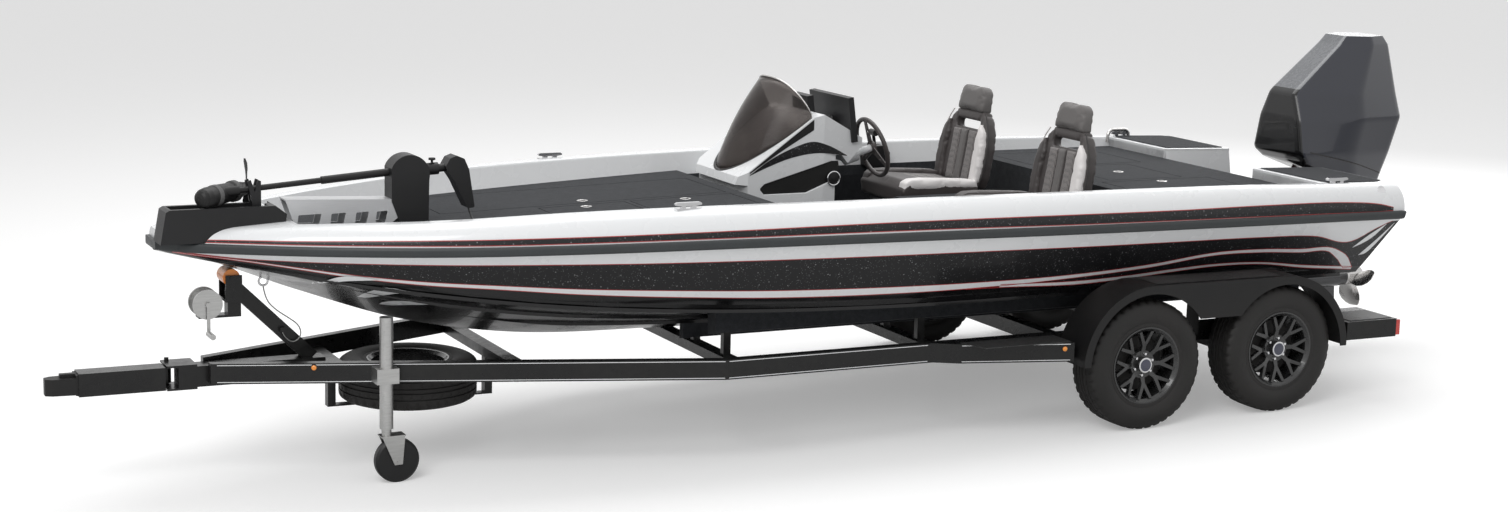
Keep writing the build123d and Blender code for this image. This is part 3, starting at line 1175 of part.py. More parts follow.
def cowl():
    """Faceted cowl: narrow at the front and top, widest low amidships, cut off along a slanting foot."""
    rise = COWL_TOP - COWL_FOOT
    outside = [(COWL_FRONT + fore, COWL_REAR - aft, nose, middle, tail, COWL_FOOT + share * rise)
               for fore, aft, nose, middle, tail, share in COWL_ROWS]
    wall = COWL_WALL
    inside = [(fore + wall, aft - wall, nose - wall, middle - wall, tail - wall, min(height, COWL_TOP - wall))
              for fore, aft, nose, middle, tail, height in outside]
    below = prism_y([(1200, 800), (1200, 1205), (1330, 1205), (COWL_REAR - 60, 950), (2200, 950),
                     (2200, 800)], -400, 400)
    keep("cowl", lean(stack(outside) - stack(inside) - below))
    head = COWL_FOOT + ENGINE_SHARE * rise
    keep("engine_block", lean(block(1600, 1880, -130, 130, ENGINE_FOOT + LID_REST, head)))


wheels()
axles()
frame()
fenders()
tongue()
winch_stand()
spare()
jack()
tail_lamps()
hull_solid, cap_shell = boat()
cross_frame(bunks(hull_solid))
console()
steering()
seats()
gunwale_solid = gunwale_form()
fittings(gunwale_solid, hull_solid)
throttle(cap_shell)
trolling_motor(gunwale_solid)
transom_bracket()
swivel()
lower_unit()
propeller()
cowl()
cords()
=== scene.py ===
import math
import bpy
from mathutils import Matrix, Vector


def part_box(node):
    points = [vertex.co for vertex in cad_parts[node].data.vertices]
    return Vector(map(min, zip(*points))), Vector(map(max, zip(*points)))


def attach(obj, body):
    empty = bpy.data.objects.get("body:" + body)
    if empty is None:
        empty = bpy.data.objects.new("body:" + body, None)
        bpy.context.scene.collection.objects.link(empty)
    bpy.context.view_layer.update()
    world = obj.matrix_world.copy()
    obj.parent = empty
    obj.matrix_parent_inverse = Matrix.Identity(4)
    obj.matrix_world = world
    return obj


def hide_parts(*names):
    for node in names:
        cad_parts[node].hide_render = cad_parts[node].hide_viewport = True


bl_info = {
    "name": "Bass Boat on a Tandem Trailer",
    "version": (1, 0, 0),
    "blender": (4, 5, 0),
    "location": "View3D > Sidebar > Boat",
    "description": "Dresses the boat, its outboard and its trailer with skins, trim, cushions and finishes",
    "category": "Object",
}

import bmesh
import bpy
import numpy as np
from mathutils import Matrix, Vector
from mathutils.bvhtree import BVHTree

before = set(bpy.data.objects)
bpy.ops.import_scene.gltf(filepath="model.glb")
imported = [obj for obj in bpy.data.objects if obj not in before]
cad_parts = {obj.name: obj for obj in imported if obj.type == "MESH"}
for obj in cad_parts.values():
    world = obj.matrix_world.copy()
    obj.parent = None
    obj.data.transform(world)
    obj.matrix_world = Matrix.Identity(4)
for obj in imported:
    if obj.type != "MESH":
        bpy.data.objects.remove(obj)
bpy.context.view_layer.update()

# The boat is drawn level, with x aft from the middle of the axles, and leans as parked
NOSE_UP = math.radians(1.6)
AXLE_X = 1.866
TYRE_RADIUS = 0.346
LEVEL = (
    Matrix.Translation((AXLE_X, 0, TYRE_RADIUS))
    @ Matrix.Rotation(NOSE_UP, 4, "Y")
    @ Matrix.Translation((0, 0, -TYRE_RADIUS))
)
UPRIGHT = Matrix.Identity(4)

# Hull stations: x, half beam, sheer, half chine, height of the chine, height of the keel, crown
HULL = (
    (1.33, 1.165, 1.046, 0.950, 0.694, 0.445, 1.205),
    (0.3, 1.195, 1.060, 0.958, 0.696, 0.445, 1.232),
    (-0.7, 1.196, 1.070, 0.955, 0.695, 0.445, 1.244),
    (-1.7, 1.152, 1.077, 0.930, 0.690, 0.446, 1.245),
    (-2.7, 1.062, 1.076, 0.860, 0.712, 0.455, 1.240),
    (-3.5, 0.950, 1.070, 0.745, 0.762, 0.486, 1.222),
    (-4.1, 0.815, 1.066, 0.610, 0.828, 0.596, 1.190),
    (-4.65, 0.590, 1.061, 0.420, 0.905, 0.785, 1.164),
    (-5.05, 0.345, 1.055, 0.240, 0.970, 0.940, 1.140),
    (-5.25, 0.190, 1.050, 0.130, 1.008, 0.990, 1.122),
    (-5.318, 0.090, 1.047, 0.060, 1.022, 1.010, 1.112),
)
BOW = -5.318
RUB_RAIL_END = 1.262
TRANSOM_FOOT = 1.060
TRANSOM_KEEL = 0.445
TRANSOM_RISE = 0.615
TRANSOM_RAKE = 0.364

# Gunwale cap: width of its rounded shoulder, width to its inner wall, and the openings that it goes round
SHOULDER = 0.095
CAP_FLAT = 0.163
CAP_FLARE = 0.025
CAP_EDGE = 0.014
POCKET_FRONT = -4.72
POCKET_REAR = 0.8
NOTCH_HALF = 0.43

# How far the smooth skins stand over the solids
HULL_SKIN = 0.002
CAP_SKIN = 0.0018

# Console's port side, wheels and trailer rails
CONSOLE_PORT = 0.25
WHEEL_Y = 1.130
AXLE_HALF = 0.433
RAIL_TOP = 0.487

# Camera fitted to the view, in metres, degrees and millimetres
CAMERA_PLACE = (-5.800, -11.369, 3.264)
CAMERA_YAW = 25.997
CAMERA_PITCH = 10.753
CAMERA_LENS = 57.52
CAMERA_SENSOR = 36

# Soft edges: the least angle of an edge that is rounded, and the steps of a quarter round
SOFT_ANGLE = math.radians(32)
QUARTER = tuple(math.radians(angle) for angle in (0, 22, 45, 68, 90))
BODY = "boat_and_trailer"

# Cowl: its ends, its slanting foot, and rows of inset fore and aft, half widths at the nose, the middle and
# the tail, and share of the height
COWL_FRONT = 1.300
COWL_REAR = 2.075
COWL_FOOT = 0.940
COWL_TOP = 1.930
COWL_CUT_FRONT = 1.330
COWL_CUT_REAR = 2.015
COWL_CUT_TOP = 1.205
COWL_CUT_FALL = 0.3723
COWL_ROWS = (
    (0.340, 0.130, 0.130, 0.175, 0.120, 0), (0.150, 0.113, 0.175, 0.228, 0.165, 0.162),
    (0, 0.075, 0.238, 0.272, 0.195, 0.308), (0, 0, 0.190, 0.285, 0.190, 0.515),
    (0.010, 0.035, 0.120, 0.268, 0.170, 0.667), (0.340, 0.090, 0.100, 0.186, 0.130, 0.95),
    (0.385, 0.120, 0.095, 0.160, 0.112, 1),
)

# Lines of the paint scheme along the side: (x, height)
PAINT_FRONT = -5.26
PAINT_REAR = 1.10
WEDGE_FRONT = -1.21
WEDGE_TIP = -1.41
CAP_HIGH = ((-5.30, 1.081), (-5.13, 1.091), (-4.83, 1.102), (-4.37, 1.116), (-3.88, 1.123), (-3.32, 1.130),
            (-2.72, 1.139), (-2.10, 1.149), (-1.49, 1.152), (-0.85, 1.149), (-0.24, 1.144), (0.30, 1.143),
            (0.84, 1.133), (1.10, 1.112), (1.20, 1.090))
CAP_LOW = ((-5.30, 1.074), (-5.13, 1.080), (-4.73, 1.089), (-4.33, 1.094), (-3.89, 1.096), (-3.32, 1.101),
           (-2.73, 1.105), (-2.10, 1.109), (-1.50, 1.107), (-0.86, 1.099), (-0.25, 1.092), (0.29, 1.085),
           (0.83, 1.076), (1.10, 1.071), (1.20, 1.072))
BAND_HIGH = ((-5.27, 1.028), (-5.0, 1.004), (-4.72, 0.998), (-4.40, 0.996), (-3.87, 0.992), (-3.50, 0.988),
             (-3.13, 0.983), (-2.60, 0.979), (-2.08, 0.976), (-1.29, 0.973), (-0.70, 0.968), (-0.19, 0.965),
             (0.34, 0.960), (0.72, 0.944), (0.97, 0.893), (1.035, 0.912), (1.106, 0.958), (1.21, 1.010))
STRIPE_HIGH = ((-5.26, 1.021), (-4.95, 0.992), (-4.73, 0.963), (-4.49, 0.930), (-4.20, 0.901), (-3.84, 0.878),
               (-3.46, 0.852), (-2.97, 0.828), (-2.50, 0.808), (-2.02, 0.797), (-1.42, 0.793), (-0.83, 0.803),
               (-0.32, 0.837), (0.075, 0.884), (0.386, 0.886), (0.671, 0.870), (0.862, 0.868), (0.96, 0.835),
               (1.026, 0.80), (1.10, 0.728))
STRIPE_LOW = ((-5.26, 1.017), (-4.95, 0.985), (-4.73, 0.953), (-4.49, 0.915), (-4.20, 0.882), (-3.84, 0.856),
              (-3.45, 0.822), (-2.83, 0.784), (-2.49, 0.768), (-2.0, 0.757), (-1.41, 0.759), (-0.82, 0.781),
              (-0.31, 0.818), (0.09, 0.866), (0.399, 0.864), (0.687, 0.846), (0.863, 0.842), (0.94, 0.80),
              (0.991, 0.765), (1.026, 0.728))
WEDGE_HIGH = ((-1.21, 0.772), (-0.74, 0.764), (-0.42, 0.778), (-0.17, 0.797), (0.12, 0.812), (0.43, 0.803),
              (0.73, 0.766), (1.08, 0.733))
WEDGE_LOW = ((-1.41, 0.757), (-1.2, 0.755), (-0.73, 0.742), (-0.41, 0.759), (-0.16, 0.779), (0.13, 0.797),
             (0.44, 0.789), (0.74, 0.748), (1.10, 0.714))
CLAWS = (
    (((1.027, 0.857), (1.097, 0.927), (1.185, 0.995)),
     ((1.027, 0.855), (1.085, 0.880), (1.138, 0.919), (1.185, 0.991))),
    (((1.100, 0.805), (1.172, 0.898), (1.240, 0.999)),
     ((1.100, 0.803), (1.151, 0.820), (1.191, 0.886), (1.240, 0.993))),
)
FLAMES = (
    (((-4.63, 0.868), (-4.60, 0.898), (-4.55, 0.921), (-4.48, 0.924), (-4.39, 0.909)),
     ((-4.63, 0.850), (-4.60, 0.862), (-4.55, 0.890), (-4.48, 0.900), (-4.39, 0.906))),
    (((-4.39, 0.80), (-4.37, 0.850), (-4.32, 0.862), (-4.27, 0.852), (-4.16, 0.830)),
     ((-4.39, 0.765), (-4.35, 0.765), (-4.31, 0.795), (-4.27, 0.820), (-4.16, 0.827))),
    (((-4.27, 0.735), (-4.24, 0.752), (-4.19, 0.757), (-4.10, 0.750), (-4.02, 0.745)),
     ((-4.27, 0.715), (-4.22, 0.712), (-4.15, 0.726), (-4.09, 0.735), (-4.02, 0.742))),
)

# Cords, whose corner points are the part's own
BOW_CABLE = ((-4.792, 0, 0.7985), (-4.786, -0.016, 0.738), (-4.745, -0.040, 0.690),
             (-4.690, -0.052, 0.652), (-4.632, -0.056, 0.610), (-4.618, -0.056, 0.556),
             (-4.655, -0.054, 0.520), (-4.700, -0.050, 0.545), (-4.712, -0.048, 0.576))
MOTOR_CABLE = ((-3.817, -0.205, 1.176), (-3.800, -0.222, 1.0996), (-3.775, -0.320, 1.1003),
               (-3.790, -0.430, 1.0998), (-3.835, -0.530, 1.0986), (-3.870, -0.600, 1.0976))


def settings():
    """Sizes and colours that a user may change."""
    return bpy.context.scene.bass_boat


# Shapes
def hermite(t, before, after, start, end):
    """Value between two values whose slopes are known, at a share t of the way."""
    return ((2 * t ** 3 - 3 * t ** 2 + 1) * before + (t ** 3 - 2 * t ** 2 + t) * start
            + (3 * t ** 2 - 2 * t ** 3) * after + (t ** 3 - t ** 2) * end)


def station(x):
    """Half beam, sheer, half chine, chine height, keel and crown at any x, on a smooth curve."""
    rows = [row for row in HULL if row[0] >= x]
    i = min(max(len(rows) - 1, 0), len(HULL) - 2)
    before, after = HULL[i], HULL[i + 1]
    span = after[0] - before[0]
    t = (x - before[0]) / span
    values = []
    for k in range(1, len(before)):
        slope = (after[k] - before[k]) / span
        left = (before[k] - HULL[i - 1][k]) / (before[0] - HULL[i - 1][0]) if i else slope
        right = (HULL[i + 2][k] - after[k]) / (HULL[i + 2][0] - after[0]) if i + 2 < len(HULL) else slope
        start = (left + slope) / 2 * span
        end = (right + slope) / 2 * span
        values.append(hermite(t, before[k], after[k], start, end))
    return values


def smooth_line(points, x):
    """Height on a smooth line through (x, height) points."""
    xs = [p[0] for p in points]
    i = min(max(int(np.searchsorted(xs, x)) - 1, 0), len(points) - 2)
    (x0, z0), (x1, z1) = points[i], points[i + 1]
    slope = (z1 - z0) / (x1 - x0)
    left = (z0 - points[i - 1][1]) / (x0 - points[i - 1][0]) if i else slope
    right = (points[i + 2][1] - z1) / (points[i + 2][0] - x1) if i + 2 < len(points) else slope
    start = (left + slope) / 2 * (x1 - x0)
    end = (right + slope) / 2 * (x1 - x0)
    t = min(max((x - x0) / (x1 - x0), 0), 1)
    return hermite(t, z0, z1, start, end)


def shoulder_arc(x, count=12, shrink=0.0):
    """Outer edge of the gunwale from the sheer to the crown: (y, z) points of a circle, and the circle."""
    beam, sheer, chine, chine_z, keel, crown = station(x)
    edge = beam - 0.005 - shrink
    shoulder = min(SHOULDER, 0.45 * beam)
    a = Vector((edge, sheer))
    b = Vector((edge - shoulder * 0.3, sheer + (crown - sheer) * 0.72))
    c = Vector((edge - shoulder, crown))
    d = 2 * (a.x * (b.y - c.y) + b.x * (c.y - a.y) + c.x * (a.y - b.y))
    far_a, far_b, far_c = a.length_squared, b.length_squared, c.length_squared
    ux = (far_a * (b.y - c.y) + far_b * (c.y - a.y) + far_c * (a.y - b.y)) / d
    uy = (far_a * (c.x - b.x) + far_b * (a.x - c.x) + far_c * (b.x - a.x)) / d
    centre = Vector((ux, uy))
    radius = (a - centre).length
    start = math.atan2(a.y - uy, a.x - ux)
    end = math.atan2(c.y - uy, c.x - ux)
    points = [(ux + radius * math.cos(start + (end - start) * k / (count - 1)),
               uy + radius * math.sin(start + (end - start) * k / (count - 1))) for k in range(count)]
    return points, (ux, uy, radius)


def side_y(x, z):
    """Half width of the boat's outside at a height."""
    beam, sheer, chine, chine_z, keel, crown = station(x)
    if z > sheer:
        ux, uy, radius = shoulder_arc(x)[1]
        return ux + math.sqrt(max(radius ** 2 - (z - uy) ** 2, 0))
    if z >= chine_z:
        return chine + (z - chine_z) / (sheer - chine_z) * (beam - chine)
    return max(0.0, chine * (z - keel) / (chine_z - keel))


class Shape:
    """Collects points and faces of one piece, each face with the number of its material."""

    def __init__(self):
        self.points = []
        self.faces = []
        self.finishes = []

    def grid(self, rows, finish=0, round_rows=False, round_columns=False):
        """Rows of equally many points, joined to their neighbours."""
        first = len(self.points)
        count = len(rows[0])
        for row in rows:
            self.points.extend(Vector(p) for p in row)
        for i in range(len(rows) if round_rows else len(rows) - 1):
            for j in range(count if round_columns else count - 1):
                a = first + i * count + j
                b = first + i * count + (j + 1) % count
                c = first + ((i + 1) % len(rows)) * count + (j + 1) % count
                d = first + ((i + 1) % len(rows)) * count + j
                self.faces.append((a, b, c, d))
                self.finishes.append(finish(i, j) if callable(finish) else finish)

    def fan(self, ring, finish=0):
        """One flat face on its own points."""
        first = len(self.points)
        self.points.extend(Vector(p) for p in ring)
        self.faces.append(tuple(range(first, first + len(ring))))
        self.finishes.append(finish)

    def plate(self, outline, deep, finish=0):
        """Flat outline pushed along a vector, closed all round."""
        low = [Vector(p) for p in outline]
        high = [p + Vector(deep) for p in low]
        self.grid([low, high], finish, round_columns=True)
        self.fan(low[::-1], finish)
        self.fan(high, finish)

    def turned(self, centre, axis, profile, count=32, finish=0):
        """Turned form from (distance along the axis, radius) points."""
        axis = Vector(axis).normalized()
        side = axis.orthogonal().normalized()
        other = axis.cross(side)
        rows = []
        for along, radius in profile:
            rows.append([Vector(centre) + axis * along + (side * math.cos(a) + other * math.sin(a)) * radius
                         for a in (2 * math.pi * k / count for k in range(count))])
        self.grid(rows, finish, round_columns=True)
        if profile[0][1] > 0:
            self.fan(rows[0][::-1], finish)
        if profile[-1][1] > 0:
            self.fan(rows[-1], finish)

    def tube(self, path, radius, count=10, finish=0, flat=1.0):
        """Round bar along points."""
        path = [Vector(p) for p in path]
        rows = []
        up = Vector((0, 0, 1))
        for k, p in enumerate(path):
            way = (path[min(k + 1, len(path) - 1)] - path[max(k - 1, 0)]).normalized()
            if abs(way.dot(up)) > 0.95:
                up = Vector((0, 1, 0)) if abs(way.y) < 0.9 else Vector((1, 0, 0))
            side = way.cross(up).normalized()
            top = side.cross(way).normalized()
            rows.append([p + side * math.cos(a) * radius + top * math.sin(a) * radius * flat
                         for a in (2 * math.pi * j / count for j in range(count))])
        self.grid(rows, finish, round_columns=True)
        self.fan(rows[0][::-1], finish)
        self.fan(rows[-1], finish)


def soft_edges(obj, width):
    """Round the sharp edges of a piece a little."""
    bevel = obj.modifiers.new("soft edges", "BEVEL")
    bevel.width = width
    bevel.segments = 2
    bevel.limit_method = "ANGLE"
    bevel.angle_limit = SOFT_ANGLE
    return bevel


def piece(name, shape, finishes, body=BODY, place=LEVEL, smooth=35, replaces=(), soften=0.0,
          weld=1e-5):
    """Turn a Shape into an object that rides on a body, with its finishes."""
    mesh = bpy.data.meshes.new(name)
    mesh.from_pydata([tuple(place @ p) for p in shape.points], [], shape.faces)
    for material in finishes:
        mesh.materials.append(material)
    mesh.polygons.foreach_set("material_index", shape.finishes)
    work = bmesh.new()
    work.from_mesh(mesh)
    if weld:
        bmesh.ops.remove_doubles(work, verts=work.verts, dist=weld)
    bmesh.ops.recalc_face_normals(work, faces=work.faces)
    for face in work.faces:
        face.smooth = smooth > 0
    work.to_mesh(mesh)
    work.free()
    if 0 < smooth < 180:
        mesh.set_sharp_from_angle(angle=math.radians(smooth))
    obj = bpy.data.objects.new(name, mesh)
    bpy.context.scene.collection.objects.link(obj)
    if soften:
        soft_edges(obj, soften)
    if replaces:
        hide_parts(*replaces)
    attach(obj, body)
    return obj


def dress(nodes, material, soften=0.0):
    """Give CAD nodes their finish, and round their edges a little."""
    for node in nodes:
        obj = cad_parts[node]
        if not obj.material_slots:
            obj.data.materials.append(material)
        for slot in obj.material_slots:
            slot.material = material
        if soften:
            soft_edges(obj, soften).harden_normals = True


def rounded(points, closed):
    """Corner-cut copy of a run of number rows: straight runs stay, corners turn soft."""
    rows = []
    count = len(points)
    for k in range(count if closed else count - 1):
        a, b = points[k], points[(k + 1) % count]
        rows.append(a)
        for t in (0.22, 0.5, 0.78):
            rows.append(tuple(p + (q - p) * t for p, q in zip(a, b)))
    if not closed:
        rows.append(points[-1])
    for step in range(2):
        cut = [] if closed else [rows[0]]
        for k in range(len(rows) if closed else len(rows) - 1):
            a, b = rows[k], rows[(k + 1) % len(rows)]
            cut.append(tuple(p + (q - p) * 0.25 for p, q in zip(a, b)))
            cut.append(tuple(p + (q - p) * 0.75 for p, q in zip(a, b)))
        rows = cut if closed else cut + [rows[-1]]
    return rows


# Finishes
SOCKETS = {"Colour": "NodeSocketColor", "Second": "NodeSocketColor", "Scale": "NodeSocketFloat",
           "Depth": "NodeSocketFloat", "Roughness": "NodeSocketFloat", "Normal": "NodeSocketVector"}


class Effect:
    """Builds one shader node group from nodes that are fed by sockets or plain values."""

    def __init__(self, name):
        self.group = bpy.data.node_groups.new(name, "ShaderNodeTree")
        for label in ("Colour", "Second", "Scale", "Depth", "Roughness"):
            self.group.interface.new_socket(label, in_out="INPUT", socket_type=SOCKETS[label])
        self.given = self.group.nodes.new("NodeGroupInput").outputs
        self.spot = self.add("ShaderNodeTexCoord", {}, "Object")

    def add(self, kind, inputs, output=0, **options):
        """One output of a new node."""
        node = self.group.nodes.new(kind)
        for name, value in options.items():
            setattr(node, name, value)
        for name, value in inputs.items():
            if isinstance(value, bpy.types.NodeSocket):
                self.group.links.new(value, node.inputs[name])
            else:
                node.inputs[name].default_value = value
        return node.outputs[output]

    def maths(self, operation, *values):
        return self.add("ShaderNodeMath", dict(enumerate(values)), operation=operation)

    def noise(self, scale, detail, vector=None, **more):
        """Soft noise on the object's own coordinates, or on others."""
        return self.add("ShaderNodeTexNoise", {"Vector": vector or self.spot, "Scale": scale, "Detail": detail,
                                               **more}, "Fac")

    def cells(self, scale, output="Distance", **more):
        return self.add("ShaderNodeTexVoronoi", {"Vector": self.spot, "Scale": scale, **more}, output)

    def stretch(self, value, low, high):
        """The value with low to high spread over 0 to 1."""
        return self.add("ShaderNodeMapRange", {"Value": value, "From Min": low, "From Max": high})

    def colours(self, factor, first="Colour", second="Second"):
        """Mix of the two given colours."""
        return self.add("ShaderNodeMix", {0: factor, 6: self.given[first], 7: self.given[second]}, 2,
                        data_type="RGBA")

    def roughness(self, factor, amount):
        return self.maths("MULTIPLY_ADD", factor, amount, self.given["Roughness"])

    def bump(self, height):
        return self.add("ShaderNodeBump", {"Distance": self.given["Depth"], "Height": height})

    def close(self, **results):
        """Give the group its outputs."""
        for label in results:
            self.group.interface.new_socket(label, in_out="OUTPUT", socket_type=SOCKETS[label])
        end = self.group.nodes.new("NodeGroupOutput")
        for label, socket in results.items():
            self.group.links.new(socket, end.inputs[label])
        return self.group


def fine_grain(fx):
    """Fine grain of moulded plastic, vinyl, rubber or paint: two colours, roughness and bump."""
    grain = fx.noise(fx.given["Scale"], 6)
    shade = fx.stretch(fx.maths("MULTIPLY", grain, fx.noise(3.1, 3)), 0.12, 0.42)
    return fx.close(Colour=fx.colours(shade), Roughness=fx.roughness(shade, 0.16), Normal=fx.bump(grain))


def metal_flake(fx):
    """Metal flakes of a few sizes, scattered thinly below a clear coat."""
    spots = []
    for size, share in ((1.0, 0.86), (0.45, 0.93)):
        scale = fx.maths("MULTIPLY", fx.given["Scale"], size)
        colour = fx.cells(scale, "Color")
        chosen = fx.maths("GREATER_THAN", fx.add("ShaderNodeSeparateColor", {0: colour}), share)
        near = fx.maths("LESS_THAN", colour.node.outputs["Distance"], 0.28)
        spots.append(fx.maths("MULTIPLY", chosen, near))
    flakes = fx.maths("MAXIMUM", *spots)
    return fx.close(Colour=fx.colours(flakes), Roughness=fx.roughness(flakes, -0.1))


def carpet_pile(fx):
    """Cut pile of marine carpet: clumps, flecks and a soft bump."""
    clump = fx.noise(26, 8, Roughness=0.7)
    blend = fx.maths("MULTIPLY_ADD", fx.cells(fx.given["Scale"]), 0.55, clump)
    return fx.close(Colour=fx.colours(fx.stretch(blend, 0.45, 1.0)), Normal=fx.bump(blend))


def spacer_mesh(fx):
    """Open spacer mesh of seat fabric: round holes in staggered rows."""
    edge = fx.stretch(fx.cells(fx.given["Scale"], Randomness=0.25), 0.25, 0.45)
    return fx.close(Colour=fx.colours(edge, "Second", "Colour"), Normal=fx.bump(edge))


def brushed_metal(fx):
    """Long fine scratches of brushed or rolled metal, with a few dull patches."""
    along = fx.add("ShaderNodeMapping", {"Vector": fx.spot, "Scale": (0.06, 1, 1)})
    scratch = fx.noise(fx.given["Scale"], 5, along)
    return fx.close(Colour=fx.colours(scratch), Roughness=fx.roughness(scratch, 0.3), Normal=fx.bump(scratch))


# Finishes by name: effect, colour, second colour, scale, depth, roughness and other shader values. A colour in
# words is a setting, and a plain number for the second colour multiplies the first.
LOOKS = {
    "gelcoat white": (fine_grain, "cap_colour", 0.985, 9, 0.00003, 0.2, {"coat": 0.4}),
    "gelcoat black": (fine_grain, (0.004, 0.004, 0.0045), (0.007, 0.007, 0.0075), 9, 0.00004, 0.16,
                      {"coat": 0.25, "shine": 0.35}),
    "black metal flake": (metal_flake, "flake_colour", (0.20, 0.20, 0.205), 190, 0, 0.4,
                          {"coat": 0.2, "shine": 0.3}),
    "red pin line": (fine_grain, "pin_colour", 0.8, 60, 0.00002, 0.3, {"coat": 0.5}),
    "charcoal carpet": (carpet_pile, "carpet_colour", 2.4, 420, 0.0012, 0.95, {"sheen": 0.06, "shine": 0.15}),
    "dark grey rub rail": (fine_grain, (0.034, 0.038, 0.040), (0.044, 0.049, 0.051), 120, 0.0001, 0.34,
                           {"shine": 0.35}),
    "trailer gloss black": (fine_grain, (0.004, 0.004, 0.0045), (0.010, 0.010, 0.0095), 30, 0.00008, 0.24,
                            {"coat": 0.12, "shine": 0.3}),
    "satin black": (fine_grain, (0.007, 0.007, 0.0075), (0.014, 0.0135, 0.013), 200, 0.0001, 0.4,
                    {"shine": 0.3}),
    "moulded black plastic": (fine_grain, (0.007, 0.007, 0.0075), (0.014, 0.014, 0.015), 900, 0.00025, 0.36,
                              {"shine": 0.35}),
    "tyre rubber": (fine_grain, (0.010, 0.0097, 0.0093), (0.024, 0.022, 0.021), 260, 0.0003, 0.5,
                    {"shine": 0.35}),
    "chrome": (brushed_metal, (0.62, 0.62, 0.63), (0.70, 0.70, 0.71), 90, 0.00001, 0.03, {"metallic": 1.0}),
    "zinc plated steel": (brushed_metal, (0.36, 0.36, 0.355), (0.56, 0.56, 0.55), 160, 0.00012, 0.2,
                          {"metallic": 1.0}),
    "polished stainless steel": (brushed_metal, (0.50, 0.49, 0.48), (0.62, 0.61, 0.60), 300, 0.00004, 0.08,
                                 {"metallic": 1.0}),
    "silver painted arm": (brushed_metal, (0.50, 0.51, 0.52), (0.60, 0.60, 0.61), 220, 0.00006, 0.22,
                           {"metallic": 0.35}),
    "dark seat vinyl": (fine_grain, "vinyl_colour", 1.35, 520, 0.0004, 0.42, {"sheen": 0.1}),
    "grey seat vinyl": (fine_grain, "panel_colour", 1.2, 520, 0.0004, 0.5, {"sheen": 0.1}),
    "white seat vinyl": (fine_grain, (0.74, 0.71, 0.70), (0.80, 0.78, 0.77), 420, 0.0003, 0.4, {}),
    "seat spacer mesh": (spacer_mesh, (0.20, 0.185, 0.18), (0.045, 0.042, 0.041), 150, 0.0015, 0.7,
                         {"sheen": 0.2}),
    "dark thread": (fine_grain, (0.02, 0.018, 0.018), (0.04, 0.036, 0.035), 900, 0.0002, 0.6, {}),
    "cowl blue grey": (metal_flake, "cowl_colour", 1.6, 1400, 0, 0.22, {"metallic": 0.1, "coat": 0.5}),
    "cowl pale grey": (fine_grain, (0.10, 0.105, 0.115), (0.12, 0.125, 0.135), 40, 0.00003, 0.2, {"coat": 0.4}),
    "smoked acrylic": (fine_grain, (0.17, 0.15, 0.145), (0.21, 0.19, 0.18), 5, 0.00002, 0.06,
                       {"transmission": 0.85, "ior": 1.15}),
    "black screen glass": (fine_grain, (0.006, 0.006, 0.007), (0.010, 0.010, 0.012), 30, 0.00001, 0.06,
                           {"coat": 1.0}),
    "red lens": (spacer_mesh, (0.55, 0.025, 0.015), (0.75, 0.06, 0.04), 160, 0.0006, 0.15, {"coat": 0.8}),
    "amber lens": (spacer_mesh, (0.85, 0.26, 0.02), (0.95, 0.42, 0.05), 200, 0.0005, 0.15, {"coat": 0.8}),
    "amber urethane": (fine_grain, (0.80, 0.20, 0.012), (0.92, 0.33, 0.03), 14, 0.0002, 0.22, {"coat": 0.4}),
    "grey webbing": (spacer_mesh, (0.12, 0.12, 0.12), (0.05, 0.05, 0.05), 420, 0.0006, 0.8, {}),
    "diamond tread pad": (spacer_mesh, (0.035, 0.035, 0.035), (0.014, 0.014, 0.014), 60, 0.003, 0.5, {}),
    "steel cable": (brushed_metal, (0.20, 0.20, 0.20), (0.42, 0.42, 0.41), 900, 0.0005, 0.3, {"metallic": 0.9}),
    "cable jacket": (fine_grain, (0.015, 0.015, 0.016), (0.03, 0.03, 0.03), 600, 0.0002, 0.4, {}),
    "engine block": (fine_grain, (0.10, 0.10, 0.10), (0.16, 0.16, 0.16), 120, 0.0003, 0.4, {"metallic": 0.6}),
    "outboard dark enamel": (metal_flake, (0.020, 0.021, 0.024), (0.04, 0.042, 0.046), 1200, 0, 0.22,
                             {"metallic": 0.2, "coat": 0.7}),
    "satin black alloy": (fine_grain, (0.012, 0.012, 0.0125), (0.022, 0.022, 0.022), 60, 0.00006, 0.2,
                          {"coat": 0.5}),
    "hub cap dark blue": (fine_grain, (0.012, 0.016, 0.045), (0.018, 0.022, 0.055), 40, 0.00003, 0.15,
                          {"coat": 1.0}),
}


